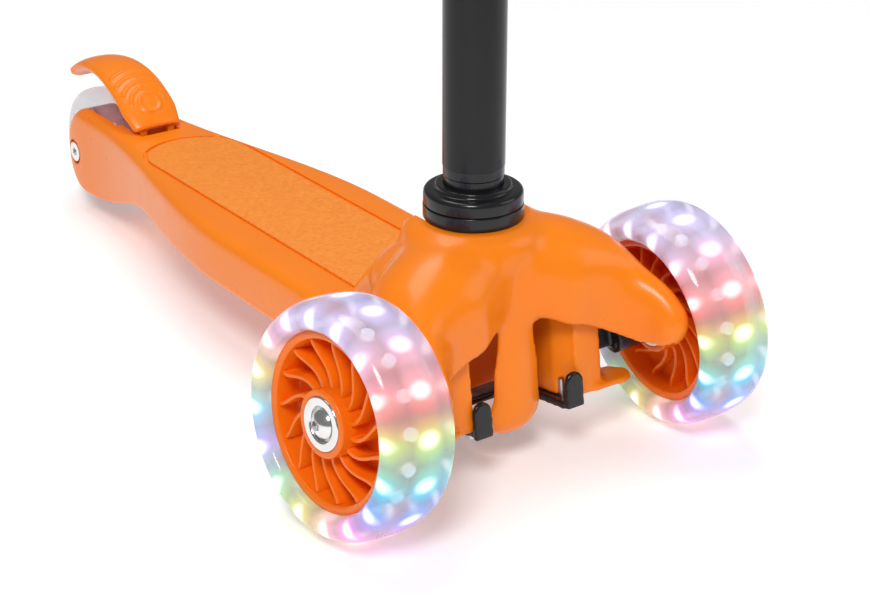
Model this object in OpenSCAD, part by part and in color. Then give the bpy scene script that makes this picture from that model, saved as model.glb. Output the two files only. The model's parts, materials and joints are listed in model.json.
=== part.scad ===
// Child's three-wheeled lean-to-steer kick scooter.
// The rider faces -Y. The rider's left is +X. Z = 0 is the ground.

/* [Wheels] */
// Distance from the front axle to the rear axle
wheelbase = 459; // [400:1:560]
// Distance between the middles of the two front tyres, at axle height
track = 206; // [190:1:260]
// Outer diameter of a front wheel
front_d = 120; // [100:1:145]
// Width of a front tyre
front_tyre_w = 41; // [34:1:44]
// Outer diameter of a front rim
front_rim_d = 90; // [80:1:108]
// Width of a front rim
front_rim_w = 29; // [26:1:34]
// Lean of each front wheel, tops inwards
camber = 5.5; // [0:0.5:8]
// Turn of each front wheel, fronts inwards
toe = 4; // [0:0.5:6]
// Number of curved vanes in a front rim
vane_count = 15; // [9:1:18]
// Number of lights around a front rim
light_count = 16; // [6:1:18]
// Outer diameter of the rear wheel
rear_d = 80; // [70:1:96]
// Width of the rear tyre
rear_tyre_w = 24; // [20:1:28]
// Outer diameter of the rear rim
rear_rim_d = 54; // [48:1:66]

/* [Deck] */
// Width of the deck at its front
deck_w = 114; // [100:1:150]
// Height of the standing surface above the ground
deck_top = 72; // [62:1:86]
// Depth of the deck's side walls
deck_depth = 32; // [24:1:40]
// Thickness of the deck's walls
deck_wall = 3.5; // [2.5:0.5:6]
// Width of the grip panel
grip_w = 68; // [50:1:84]
// Width across the two cheeks that hold the rear wheel
fork_w = 50; // [46:1:60]

/* [Front end] */
// Distance from the front axle back to the stem's axis
stem_setback = 41; // [36:1:50]
// Height of the collar's underside
collar_z = 127; // [120:1:140]
// Outer radius of the collar
collar_r = 25.8; // [23:0.1:30]
// Wall of the front cover
cover_wall = 3; // [2.5:0.5:4]
// Distance from the middle to each kingpin
kingpin_x = 44; // [42:1:50]
// Distance from the front axle back to the kingpins
kingpin_setback = 10; // [8:1:14]
// Radius of a kingpin
kingpin_r = 4; // [3:0.5:5]
// Length of each steering arm, from kingpin to tie pin
steer_arm = 27; // [24:1:32]

/* [Stem] */
// Outer radius of the lower stem tube
stem_r = 16; // [15:0.5:18]
// Wall of both stem tubes
tube_wall = 1.6; // [1.2:0.1:2.5]
// Height of the lower stem tube's top edge
lower_tube_top = 430; // [380:5:480]
// Height of the handlebar's axis at its lowest setting
bar_z = 640; // [600:5:700]
// Travel of the height adjustment
height_travel = 120; // [80:10:140]
// Length of the handlebar, without its end caps
bar_len = 236; // [200:2:300]
// Outer radius of the handlebar tube
bar_r = 11; // [10:0.5:13]
// Length of each grip
grip_len = 92; // [80:1:110]

/* [Foot brake] */
// Width of the brake pedal
brake_w = 38; // [34:1:44]
// Height of the brake pedal's highest point above the ground
brake_crest = 104; // [100:1:118]

/* [Fits] */
// Radial clearance of a pin or axle that turns in a bore
run_gap = 0.05; // [0.02:0.01:0.1]
// Gap between pieces that pass each other
side_gap = 0.4; // [0.3:0.1:0.8]

/* [Hidden] */
$fn = 64;
ORANGE = "darkorange";
DEEP_ORANGE = "orangered";
BLACK = [0.09, 0.09, 0.1];
STEEL = "silver";
CLEAR = [0.82, 0.86, 0.95];

// Places along the scooter. The origin is under the middle of its overall length.
front_r = front_d / 2;
rear_r = rear_d / 2;
axle_y = -(wheelbase + rear_r - front_r) / 2;
rear_y = axle_y + wheelbase;
stem_y = axle_y + stem_setback;
tread_mid = (front_r + front_rim_d / 2 - 3) / 2;
oval_power = 5 / 3;
front_z = tread_mid * cos(camber) + pow(
    pow((front_r - tread_mid) * cos(camber), oval_power) + pow(front_tyre_w / 2 * sin(camber), oval_power),
    1 / oval_power);
eps = 0.01;

// Bearings are the common 8 x 22 x 7 mm size.
axle_r = 4;
bearing_r = 11;
bearing_w = 7;
race_r = 6.2;

// Front wheel, measured along its axle from the tyre's middle plane.
front_rim_r = front_rim_d / 2;
rim_lip = 4;
boss_r = 17;
boss_half = front_rim_w / 2 + 3;
vane_setback = 6;
trim_r = 13.7;
trim_t = 1.6;
bolt_head_r = 7.6;
bolt_head_h = 5;
axle_inner = boss_half + 3;
light_r = 3.2;
light_h = 3.4;

// Rear wheel
rear_rim_r = rear_rim_d / 2;
rear_boss_half = rear_tyre_w / 2;
cheek_gap = rear_boss_half + 2;
counterbore_r = 8.6;
counterbore_d = 3.5;

// Steering, measured along the kingpin axis from axle height.
king_tilt = 8;
barrel_r = 9.5;
barrel_low = -22;
barrel_high = 17;
ear_t = 6;
ear_r = 13;
pin_head_h = 3;
arm_boss_r = 9.5;
steer_max = 6;
tie_pin_r = 3;
tie_bar_t = 5;
tie_w = barrel_high - 7;
slot_play = 0.5;

// Deck
deck_front = axle_y + 64;
deck_low = deck_top - deck_depth;
fork_front = rear_y - rear_r - 12;
cheek_end = rear_y + 12;
cheek_low = 14;
taper_start = rear_y - 250;
brake_pin_y = rear_y - 69;
brake_pin_z = deck_top - 11;
brake_pin_r = 3;

// Stem
upper_r = stem_r - tube_wall - 0.9;
insert_r = stem_r - tube_wall - 0.1;
tube_foot = collar_z + 28;

module at_front() translate([0, axle_y, 0]) children();
module at_rear() translate([0, rear_y, rear_r]) children();
module at_stem(z = 0) translate([0, stem_y, z]) children();
module sided(side) mirror([side < 0 ? 1 : 0, 0, 0]) children();

// Puts local +Z along the outward axle of a front wheel, and local +X down.
module at_wheel(side)
    sided(side)
        translate([track / 2, axle_y, front_z])
            rotate([0, 0, -toe]) rotate([0, 90 - camber, 0]) children();

// Puts local +Z along a kingpin, with the origin at axle height.
module at_kingpin(side)
    sided(side)
        translate([kingpin_x, axle_y + kingpin_setback, front_z]) rotate([-king_tilt, 0, 0]) children();

// Turns its children about a kingpin, as steering does.
module turned(side, angle)
    at_kingpin(side) rotate([0, 0, angle]) rotate([king_tilt, 0, 0])
        translate([-kingpin_x, -axle_y - kingpin_setback, -front_z]) sided(side) children();

// The same slanted frame, on the scooter's middle line.
module at_housing()
    translate([0, axle_y + kingpin_setback, front_z]) rotate([-king_tilt, 0, 0]) children();

module ring(outer, inner, h)
    difference() {
        cylinder(r = outer, h = h);
        translate([0, 0, -eps]) cylinder(r = inner, h = h + 2 * eps);
    }

function smooth(t) = let (c = max(0, min(1, t))) c * c * (3 - 2 * c);

// ---------------------------------------------------------------- deck

// Half width of the deck at a place along it: full at the front, narrow at the fork.
function deck_half(y) = fork_w / 2
    + (deck_w - fork_w) / 2 * (1 - smooth((y - taper_start) / (rear_y - 20 - taper_start)));

module deck_plan(inset = 0) {
    front = deck_front + inset;
    steps = 24;
    ys = [for (i = [0 : steps]) front + i * (cheek_end - inset - front) / steps];
    left = [for (y = ys) [deck_half(y) - inset, y]];
    right = [for (i = [steps : -1 : 0]) [inset - deck_half(ys[i]), ys[i]]];
    polygon(concat(left, right));
}

// Side view of the deck: flat top, rounded cheek end, and a belly that dips at the cheeks.
module deck_side() {
    end_r = 24;
    dip = [for (i = [0 : 8]) [
        rear_y - 130 + i * 14,
        deck_low - (deck_low - cheek_low) * smooth(i / 8)
    ]];
    middle = cheek_end - end_r;
    top_arc = [for (a = [0 : 15 : 90]) [middle + end_r * cos(a), deck_top - end_r + end_r * sin(a)]];
    low_arc = [for (a = [-90 : 15 : 0]) [middle + end_r * cos(a), cheek_low + end_r + end_r * sin(a)]];
    polygon(concat([[deck_front, deck_top], [deck_front, deck_low]], dip, low_arc, top_arc));
}

// Side-view shapes are drawn in Y and Z and stand across the scooter.
module across(w)
    translate([-w / 2, 0, 0]) rotate([90, 0, 90]) linear_extrude(height = w) children();

module grip_outline(inset = 0) {
    half = grip_w / 2 - inset;
    front = axle_y + 96 + inset;
    back = rear_y - 96 - inset;
    round_r = half * 0.9;
    arc = [for (a = [0 : 10 : 180]) [half * cos(a), back - round_r + round_r * sin(a)]];
    polygon(concat([[-half, front], [half, front]], arc));
}

module deck() color(ORANGE) difference() {
    union() {
        difference() {
            intersection() {
                across(deck_w + 2) deck_side();
                linear_extrude(height = deck_top + 1) deck_plan();
            }
            // hollow underside
            difference() {
                translate([0, 0, -1]) linear_extrude(height = deck_top - deck_wall + 1) deck_plan(deck_wall);
                translate([-deck_w / 2, fork_front - 40, -2]) cube([deck_w, 200, deck_top + 4]);
                // cross ribs and one long rib stiffen the hollow
                for (i = [1 : 6])
                    translate([-deck_w / 2, deck_front + 8 + i * 38, deck_low + 8])
                        cube([deck_w, 2.5, deck_depth]);
                translate([-1.25, deck_front + 46, deck_low + 8]) cube([2.5, wheelbase - 190, deck_depth]);
            }
        }
        // raised grip panel
        translate([0, 0, deck_top - 1]) linear_extrude(height = 1.6) grip_outline(2.4);
    }
    // groove around the grip panel
    translate([0, 0, deck_top - 0.8]) linear_extrude(height = 2) difference() {
        grip_outline();
        grip_outline(2.4);
    }
    // mouth for the housing's tongue
    translate([-tongue_half - side_gap, deck_front - 1, deck_top - deck_wall - tongue_t - side_gap])
        cube([2 * (tongue_half + side_gap), deck_wall + 2, tongue_t + side_gap]);
    // slot for the rear wheel, and a narrower one for the brake's hinge
    translate([-cheek_gap, fork_front, -1]) cube([2 * cheek_gap, 120, deck_top + 20]);
    translate([-cheek_gap, brake_pin_y - 11, deck_low + 8]) cube([2 * cheek_gap, 60, deck_depth]);
    // rear axle, with a counterbore in each cheek
    at_rear() rotate([0, 90, 0]) {
        translate([0, 0, -fork_w]) cylinder(r = axle_r, h = 2 * fork_w);
        for (s = [-1, 1])
            translate([0, 0, s * (fork_w / 2 + 20 - counterbore_d) - 20]) cylinder(r = counterbore_r, h = 40);
    }
    // hinge pin of the foot brake
    translate([-brake_pin_half, brake_pin_y, brake_pin_z]) rotate([0, 90, 0])
        cylinder(r = brake_pin_r, h = deck_w);
    // screws into the steering housing
    for (p = deck_screw_places) translate([p[0], p[1], deck_top - 8]) cylinder(r = 2.2, h = 20);
    for (p = deck_screw_places) translate([p[0], p[1], deck_top - 1.6]) cylinder(r = 4.4, h = 20);
}

deck_screw_places = [for (x = [-26, 26]) for (y = [10, 24]) [x, deck_front + y]];

module deck_screws() color(STEEL)
    for (p = deck_screw_places) translate([p[0], p[1], 0]) {
        translate([0, 0, deck_top - 1.6]) cylinder(r = 4.2, h = 1.4);
        translate([0, 0, deck_top - 14]) cylinder(r = 2.2, h = 12.6);
    }

// ---------------------------------------------------------------- front cover

// A limb is swept along stations: place, half size across, half size along the reference.
// Stations are [x, y, z, across, along]; a smooth curve runs through them.
function curve(p, i, t) = let (
    a = p[max(i - 1, 0)], b = p[i], c = p[i + 1], d = p[min(i + 2, len(p) - 1)])
    0.5 * (2 * b + (c - a) * t + (2 * a - 5 * b + 4 * c - d) * t * t + (3 * b - a - 3 * c + d) * t * t * t);

function place(s) = [s[0], s[1], s[2]];
function unit(v) = v / norm(v);

// Points of one cross section. Points on the open side are moved out by drop.
function section(s, dir, ref, grow, drop, sides) = let (
    n = unit(ref - (ref * dir) * dir),
    m = cross(dir, n))
    [for (k = [0 : sides - 1]) let (
        a = 360 * k / sides,
        out = (s[3] + grow) * cos(a) * m + (s[4] + grow) * sin(a) * n)
        place(s) + out + (out * drop > 0 ? drop : [0, 0, 0])];

module limb(stations, ref, grow = 0, drop = [0, 0, 0], per = 4, sides = 24) {
    spans = len(stations) - 1;
    line = concat(
        [for (i = [0 : spans - 1]) for (j = [0 : per - 1]) curve(stations, i, j / per)], [stations[spans]]);
    count = len(line);
    dirs = [for (i = [0 : count - 1]) unit(place(line[min(i + 1, count - 1)]) - place(line[max(i - 1, 0)]))];
    last = line[count - 1];
    reach = min(last[3], last[4]) + grow;
    body = [for (i = [0 : count - 1]) section(line[i], dirs[i], ref, grow, drop, sides)];
    // the free end is rounded
    tip = [for (a = [25, 48, 68, 84]) let (
        c = place(last) + reach * sin(a) * dirs[count - 1],
        s = [c[0], c[1], c[2], (last[3] + grow) * cos(a), (last[4] + grow) * cos(a)])
        section(s, dirs[count - 1], ref, 0, drop, sides)];
    rings = concat(body, tip);
    walls = [for (k = [0 : sides - 1]) let (n = (k + 1) % sides) [k, n, sides + n, sides + k]];
    ends = [[for (k = [sides - 1 : -1 : 0]) k], [for (k = [0 : sides - 1]) sides + k]];
    for (i = [0 : len(rings) - 2]) hull()
        polyhedron(points = concat(rings[i], rings[i + 1]), faces = concat(walls, ends));
}

neck_z = collar_z - 24;
boss_room = 1.2;
arm_line = [
    [0, stem_setback, neck_z + 4, 28, 17],
    [30, stem_setback - 16, neck_z - 2, 29, 22],
    [47, stem_setback - 25, neck_z - 12, 29, 25],
    [62, stem_setback - 41, front_z + 20, 15, 23],
    [71, stem_setback - 60, front_z + 15, 9, 17.5],
    [74, stem_setback - 71, front_z + 10, 8, 13]
];
prong_line = [
    [0, stem_setback, collar_z, 24, collar_r + 1],
    [0, stem_setback - 3, neck_z + 8, 29, 34],
    [0, stem_setback - 12, neck_z - 13, 24, 31],
    [0, stem_setback - 21, 66, 18, 22.5],
    [0, stem_setback - 27, 32, 16, 19.5]
];
tail_line = [
    [0, stem_setback, neck_z - 3, 40, 22],
    [0, stem_setback + 22, neck_z - 11, 47, 19],
    [0, stem_setback + 41, deck_top + 6, 48, 11],
    [0, stem_setback + 48, deck_top, 46, 6]
];
dome = [[collar_r, 0], [31, -1.2], [34.5, -3.5], [37, -8], [37.5, -14], [35, -24], [29, -34]];
UP = [0, 0, 1];
ACROSS = [1, 0, 0];

module neck_dome(inset = 0)
    translate([0, stem_setback, collar_z - inset]) rotate_extrude()
        polygon(concat([[0, 0]], [for (p = dome) [p[0] - inset, p[1]]], [[0, dome[len(dome) - 1][1]]]));

module front_cover() color(ORANGE) at_front() difference() {
    union() {
        for (s = [-1, 1]) sided(s) limb(arm_line, UP);
        limb(prong_line, ACROSS);
        limb(tail_line, UP, per = 3);
        neck_dome();
    }
    // hollow inside, open downwards at the arms and backwards at the prong
    for (s = [-1, 1]) sided(s) limb(arm_line, UP, -cover_wall, [0, 0, -60], per = 2, sides = 16);
    limb(prong_line, ACROSS, -cover_wall, [0, 50, 0], per = 2, sides = 16);
    limb(tail_line, UP, -cover_wall, [0, 0, -40], per = 2, sides = 16);
    neck_dome(cover_wall);
    // room for the steering: the ears, the kingpin heads and the swinging axle arms
    for (s = [-1, 1]) {
        translate([0, -axle_y, 0]) at_kingpin(s)
            translate([0, 0, bottom_ear])
                cylinder(r = ear_r + side_gap, h = top_ear + ear_t + pin_head_h + side_gap - bottom_ear);
        translate([0, -axle_y, 0]) at_housing() sided(s)
            translate([block_in - side_gap, 0, 0]) cube([10, 16 + side_gap, top_ear + ear_t + side_gap]);
        translate([0, -axle_y, 0]) at_housing() sided(s)
            translate([block_out - 1 - side_gap, block_front, bottom_ear])
                cube([kingpin_x + 2 - block_out, 8, top_ear + ear_t + side_gap - bottom_ear]);
        for (turn = [-steer_max, 0, steer_max]) translate([0, -axle_y, 0]) turned(s, turn) at_wheel(s)
            translate([0, 0, kingpin_x - track / 2])
                cylinder(r = arm_boss_r + boss_room, h = track / 2 - kingpin_x - axle_inner);
    }
    // the tail sits on the deck
    translate([-80, deck_front - axle_y - 2, -20]) cube([160, 140, deck_top + 20.1]);
    // seat of the stem socket
    translate([0, stem_setback, 60]) cylinder(r = collar_r - 4 + side_gap, h = 100, $fn = 48);
    translate([-60, -40, collar_z]) cube([120, 160, 40]);
}

// ---------------------------------------------------------------- steering

block_in = 27;
block_out = 34;
block_front = -13;
bridge_front = 24;
bridge_back = 53.5;
bridge_low = -23;
bridge_high = 6.5;
post_half = 16;
post_front = 38;
bottom_ear = barrel_low - 1 - side_gap - ear_t;
top_ear = barrel_high + 1 + side_gap;
tongue_half = 32.5;
tongue_t = 20;
tongue_start = stem_y + 18.5;
tongue_end = deck_front + 38;
socket_floor = collar_z - 39;
screw_r = 2.5;

module housing_side() {
    // inner block, from ear to ear
    translate([0, 0, bottom_ear]) linear_extrude(height = top_ear + ear_t - bottom_ear)
        polygon([[block_in, block_front + 12], [block_out, block_front], [block_out, 16], [block_in, 16]]);
    // ears above and below the knuckle
    for (w = [bottom_ear, top_ear]) translate([0, 0, w]) {
        translate([block_out - 1, block_front + 0.6, 0])
            cube([kingpin_x - block_out + 2, ear_r - block_front - 1.2, ear_t]);
        translate([kingpin_x, 0, 0]) cylinder(r = ear_r, h = ear_t);
    }
    // front wall that shields the barrel
    translate([block_out - 1, block_front + 0.3, bottom_ear + 2]) cube([kingpin_x + 7 - block_out, 2.2, 45]);
    // lip under the axle arm
    translate([kingpin_x, block_front - 2.4, bottom_ear + 0.3]) cube([18, 20.8, 3.5]);
    translate([kingpin_x + 17, block_front + 8, bottom_ear + 0.3]) cylinder(r = 11, h = 3.5);
    // rear arm to the bridge
    translate([block_in, 15, bottom_ear])
        cube([block_out - block_in, bridge_back - 15, bridge_high - bottom_ear]);
}

module steering_housing() color(ORANGE) difference() {
    union() {
        at_housing() {
            for (s = [-1, 1]) sided(s) housing_side();
            translate([-block_in - 1, bridge_front, bridge_low])
                cube([2 * block_in + 2, bridge_back - bridge_front, bridge_high - bridge_low]);
        }
        // post that carries the stem socket
        translate([-post_half, stem_y + 7, 44])
            cube([2 * post_half, 13, socket_floor - 44]);
        // tongue inside the deck
        translate([-tongue_half, tongue_start, deck_top - deck_wall - tongue_t])
            cube([2 * tongue_half, tongue_end - tongue_start, tongue_t]);
    }
    for (s = [-1, 1]) at_kingpin(s) translate([0, 0, bottom_ear - 5]) cylinder(r = kingpin_r, h = 80);
    for (p = deck_screw_places) translate([p[0], p[1], deck_top - 14]) cylinder(r = 2.2, h = 20);
    for (x = socket_screw_xs)
        translate([x, stem_y + 13.5, 30]) {
            cylinder(r = screw_r, h = 60);
            translate([0, 0, -10]) cylinder(r = 5, h = 40 + screw_seat - 60);
        }
    at_housing() for (p = skid_screw_places)
        translate([p[0], p[1], bottom_ear - eps]) cylinder(r = 2, h = 10);
}

socket_screw_xs = [-9, 9];
screw_seat = 56;
skid_screw_places = [for (x = [-30, 30]) for (v = [-4, 34]) [x, v]];

module socket_screws() color(STEEL)
    for (x = socket_screw_xs) translate([x, stem_y + 13.5, screw_seat - 36]) {
        translate([0, 0, 16 - 4]) cylinder(r = 4.6, h = 4);
        translate([0, 0, 16]) cylinder(r = screw_r, h = socket_floor + 8 - screw_seat + 20);
    }

module skid_plate() color(BLACK) at_housing() difference() {
    union() {
        difference() {
            translate([-33, block_front, bottom_ear - 4]) cube([66, bridge_back - block_front - 6, 4]);
            translate([-block_in + 4, block_front - 1, bottom_ear - 5]) cube([2 * block_in - 8, 40, 6]);
        }
        // ears turned up in front of the housing
        for (s = [-1, 1]) sided(s) translate([24, block_front - 0.2, bottom_ear - 4]) {
            translate([0, -3, 0]) cube([11, 3.2, 14]);
            translate([5.5, 0, 14]) rotate([90, 0, 0]) cylinder(r = 5.5, h = 3);
        }
    }
    for (p = skid_screw_places) translate([p[0], p[1], bottom_ear - 5]) cylinder(r = 2, h = 10);
}

module skid_plate_screws() color(STEEL) at_housing()
    for (p = skid_screw_places) translate([p[0], p[1], bottom_ear]) {
        translate([0, 0, -6]) cylinder(r = 3, h = 2);
        translate([0, 0, -4]) cylinder(r = 2, h = 13);
    }

module kingpins() color(STEEL) for (s = [-1, 1]) at_kingpin(s) {
    translate([0, 0, bottom_ear - 2]) cylinder(r = kingpin_r, h = top_ear + ear_t - bottom_ear + 2);
    translate([0, 0, top_ear + ear_t]) cylinder(r = kingpin_r + 3, h = pin_head_h);
    translate([0, 0, bottom_ear - 2]) cylinder(r = kingpin_r + 2.5, h = 2);
}

bush_r = kingpin_r + 2;

module knuckle(side) color(BLACK) difference() {
    union() {
        at_kingpin(side) {
            translate([0, 0, barrel_low]) cylinder(r = barrel_r, h = barrel_high - barrel_low);
            translate([5, -8, -10]) cube([18, 16, 20]);
            // steering arm to the tie bar
            translate([-5, 5, tie_w - 8]) cube([10, steer_arm - 5, 8]);
            translate([0, steer_arm, tie_w - 8]) cylinder(r = 6.5, h = 8);
        }
        at_wheel(side) translate([0, 0, kingpin_x + 17 - track / 2])
            cylinder(r = arm_boss_r, h = track / 2 - kingpin_x - 17 - axle_inner);
    }
    at_kingpin(side) {
        translate([0, 0, barrel_low - 1]) cylinder(r = bush_r, h = barrel_high - barrel_low + 2);
        translate([0, steer_arm, tie_w - 9]) cylinder(r = tie_pin_r, h = 20);
    }
    at_wheel(side) translate([0, 0, kingpin_x + 20 - track / 2]) cylinder(r = axle_r - run_gap, h = 80);
}

module bushes(side) color("ivory") at_kingpin(side) {
    for (top = [0, 1]) translate([0, 0, top ? barrel_high : barrel_low]) mirror([0, 0, top ? 0 : 1])
        difference() {
            union() {
                cylinder(r = bush_r + 2.5, h = 1);
                translate([0, 0, -12]) cylinder(r = bush_r, h = 12.5);
            }
            translate([0, 0, -13]) cylinder(r = kingpin_r + run_gap, h = 20);
        }
}

module tie_pin(side) color(STEEL) at_kingpin(side) translate([0, steer_arm, 0]) {
    translate([0, 0, tie_w - 8]) cylinder(r = tie_pin_r, h = 8 + tie_bar_t + 2 * side_gap);
    translate([0, 0, tie_w + tie_bar_t + 2 * side_gap]) cylinder(r = 5, h = 2);
}

spring_v = post_front + 5;
lug_x = 27;

module tie_bar() color(BLACK) at_housing() translate([0, 0, tie_w + side_gap]) difference() {
    union() {
        translate([-kingpin_x, steer_arm - 4.5, 0]) cube([2 * kingpin_x, 9, tie_bar_t]);
        for (s = [-1, 1]) {
            translate([s * kingpin_x, steer_arm, 0]) cylinder(r = 6.5, h = tie_bar_t);
            // lug that squeezes a centring spring
            translate([s * lug_x - 1.5, steer_arm, 0]) cube([3, spring_v + 4 - steer_arm, tie_bar_t]);
        }
    }
    // each pin has a little play fore and aft
    for (s = [-1, 1]) translate([s * kingpin_x, steer_arm, -1]) {
        for (v = [-1, 1]) translate([0, v * slot_play, 0]) cylinder(r = tie_pin_r + run_gap, h = 10);
        translate([-tie_pin_r - run_gap, -slot_play, 0]) cube([2 * (tie_pin_r + run_gap), 2 * slot_play, 10]);
    }
}

// A coil spring along +Z, wound as one tube of small sides.
module coil(r, wire, length, turns, sides = 6, per_turn = 14) {
    count = turns * per_turn;
    pitch = (length - 2 * wire) / count;
    ring_points = [for (i = [0 : count]) for (k = [0 : sides - 1])
        let (a = 360 * i / per_turn, b = 360 * k / sides, d = r - wire + wire * cos(b))
        [d * cos(a), d * sin(a), wire + i * pitch + wire * sin(b)]];
    walls = [for (i = [0 : count - 1]) for (k = [0 : sides - 1])
        let (n = (k + 1) % sides)
        [i * sides + k, i * sides + n, (i + 1) * sides + n, (i + 1) * sides + k]];
    first = [for (k = [sides - 1 : -1 : 0]) k];
    last = [for (k = [0 : sides - 1]) count * sides + k];
    polyhedron(points = ring_points, faces = concat([first], walls, [last]), convexity = 8);
}

module centring_springs() color(STEEL) at_housing() for (s = [-1, 1]) sided(s)
    translate([post_half + 0.3, spring_v, tie_w + side_gap + tie_bar_t / 2]) rotate([0, 90, 0])
        coil(4.2, 0.6, lug_x - 1.5 - post_half - 0.6, 5);

// ---------------------------------------------------------------- stem

collar_low_h = 7.4;
socket_top = collar_z + 13;
cap_top = collar_z + 18;
neck_r = collar_r - 4.4;

module stem_socket() color(BLACK) at_stem() difference() {
    union() {
        translate([0, 0, socket_floor]) cylinder(r = neck_r, h = socket_top - socket_floor);
        translate([0, 0, collar_z]) cylinder(r = collar_r, h = collar_low_h);
    }
    translate([0, 0, socket_floor + 10]) cylinder(r = insert_r + 0.9, h = 100);
    translate([0, 0, socket_floor - 1]) cylinder(r = 3, h = 40);
    for (x = socket_screw_xs) translate([x, 13.5, socket_floor - 1]) cylinder(r = screw_r, h = 9);
}

module collar_cap() color(BLACK) at_stem() rotate_extrude() {
    low = collar_z + collar_low_h + 0.4;
    turn = 5.5;
    shoulder = [for (a = [0 : 15 : 90]) [
        collar_r - 0.2 - turn + turn * cos(a),
        low + 2 + turn * sin(a)
    ]];
    polygon(concat(
        [[neck_r + 0.1, low], [collar_r - 0.2, low]], shoulder,
        [[stem_r + 3.4, cap_top - 1], [stem_r + 2.8, cap_top], [insert_r + 1.1, cap_top],
         [insert_r + 1.1, socket_top + 0.3], [neck_r + 0.1, socket_top + 0.3]]
    ));
}

module stem_insert() color(BLACK) at_stem() difference() {
    union() {
        translate([0, 0, socket_floor + 10]) cylinder(r = insert_r + 0.9, h = tube_foot - socket_floor - 10);
        translate([0, 0, tube_foot - 5]) cylinder(r = stem_r - 0.3, h = 5);
        translate([0, 0, tube_foot]) cylinder(r = insert_r + 0.1, h = 26);
    }
    translate([0, 0, socket_floor]) cylinder(r = 3, h = 40);
    translate([0, 0, socket_floor + 38]) cylinder(r = insert_r - 3, h = 120);
}

module stem_bolt() color(STEEL) at_stem() difference() {
    union() {
        translate([0, 0, socket_floor - 5]) cylinder(r = 5, h = 5);
        translate([0, 0, socket_floor]) cylinder(r = 3, h = 34);
    }
    translate([0, 0, socket_floor - 6]) cylinder(r = 2.9, h = 4, $fn = 6);
}

clamp_low = lower_tube_top - 34;
clamp_r = stem_r + 4.5;
lever_axis_y = clamp_r + 6;
lug_half = 14;
cam_r = 5.2;
lever_x = lug_half + cam_r + side_gap;
rod_r = 2.5;
eye_r = 3;
rod_z = lower_tube_top - 18;

// Split ring that squeezes the slotted top of the lower tube, with two lugs on the rider's side.
module clamp_body() color(BLACK) at_stem() difference() {
    union() {
        translate([0, 0, clamp_low]) cylinder(r = clamp_r, h = lower_tube_top + 2 - clamp_low);
        translate([-lug_half, 8, clamp_low + 4]) cube([2 * lug_half, clamp_r + 5, 24]);
    }
    translate([0, 0, clamp_low - 1]) cylinder(r = stem_r, h = lower_tube_top + 1 - clamp_low);
    translate([0, 0, lower_tube_top - 1]) cylinder(r = upper_r + 0.2, h = 10);
    translate([-1, 2, clamp_low - 1]) cube([2, 60, 50]);
    translate([-30, lever_axis_y, rod_z]) rotate([0, 90, 0]) cylinder(r = rod_r, h = 60);
}

module lower_tube() color(BLACK) at_stem() difference() {
    translate([0, 0, tube_foot]) cylinder(r = stem_r, h = lower_tube_top - tube_foot);
    translate([0, 0, tube_foot - 1]) cylinder(r = stem_r - tube_wall, h = lower_tube_top);
    translate([-1, 0, clamp_low + 2]) cube([2, 40, 60]);
}

// Rod through the lugs. Its head on the left is the eye that the cam lever turns on.
module clamp_rod() color(STEEL) at_stem(rod_z) translate([0, lever_axis_y, 0]) {
    translate([-lug_half - 7, 0, 0]) rotate([0, 90, 0]) cylinder(r = rod_r, h = lug_half + 7 + lever_x);
    translate([lever_x, 0, -9]) cylinder(r = eye_r, h = 18);
}

module clamp_nut() color(STEEL) at_stem(rod_z) translate([-lug_half - 4, lever_axis_y, 0])
    rotate([0, 90, 0]) difference() {
        cylinder(r = 5, h = 4, $fn = 6);
        translate([0, 0, -1]) cylinder(r = rod_r, h = 6);
    }

// Cam lever: two cheeks on the rod's eye and a blade that lies along the stem's left side.
module clamp_lever() color(BLACK) at_stem(rod_z) translate([lever_x, lever_axis_y, 0]) difference() {
    union() {
        translate([0, 0, -8.5]) cylinder(r = cam_r, h = 17);
        translate([2.2, -44, -6.5]) cube([4.2, 44, 13]);
        translate([2.2, -44, 0]) rotate([0, 90, 0]) cylinder(r = 6.5, h = 4.2);
    }
    translate([0, 0, -10]) cylinder(r = eye_r + run_gap, h = 20);
    // slot that lets the lever swing past the rod
    translate([-12, -3.2, -3.2]) cube([20, 14, 6.4]);
}

upper_foot = lower_tube_top - bar_r - 8 - height_travel - 40;

module upper_tube() color(BLACK) at_stem() difference() {
    translate([0, 0, upper_foot]) cylinder(r = upper_r, h = bar_z - bar_r - 4 - upper_foot);
    translate([0, 0, upper_foot - 1]) cylinder(r = upper_r - tube_wall, h = bar_z);
}

module glide_bush() color("dimgray") at_stem(upper_foot - 12) difference() {
    union() {
        cylinder(r = stem_r - tube_wall - run_gap, h = 12);
        cylinder(r = upper_r - tube_wall, h = 26);
    }
    translate([0, 0, -1]) cylinder(r = upper_r - tube_wall - 2, h = 30);
}

module tee_joint() color(BLACK) at_stem() difference() {
    union() {
        translate([0, 0, bar_z - bar_r - 34]) cylinder(r = upper_r + 3.4, h = 34 + bar_r);
        translate([-24, 0, bar_z]) rotate([0, 90, 0]) cylinder(r = bar_r + 3.4, h = 48);
    }
    translate([-30, 0, bar_z]) rotate([0, 90, 0]) cylinder(r = bar_r, h = 60);
    translate([0, 0, bar_z - bar_r - 60]) cylinder(r = upper_r, h = 60 - 4);
}

module handlebar() color(BLACK) at_stem(bar_z) translate([-bar_len / 2, 0, 0]) rotate([0, 90, 0])
    ring(bar_r, bar_r - tube_wall, bar_len);

grip_r = bar_r + 4;

module grip(side) color(BLACK) at_stem(bar_z) sided(side)
    translate([bar_len / 2 - grip_len, 0, 0]) rotate([0, 90, 0]) difference() {
        union() {
            cylinder(r = grip_r, h = grip_len);
            cylinder(r = grip_r + 4, h = 4);
            // ribs around the grip
            for (i = [0 : 8]) translate([0, 0, 12 + i * 8]) cylinder(r = grip_r + 0.9, h = 3.5);
        }
        translate([0, 0, -1]) cylinder(r = bar_r, h = grip_len + 2);
    }

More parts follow.
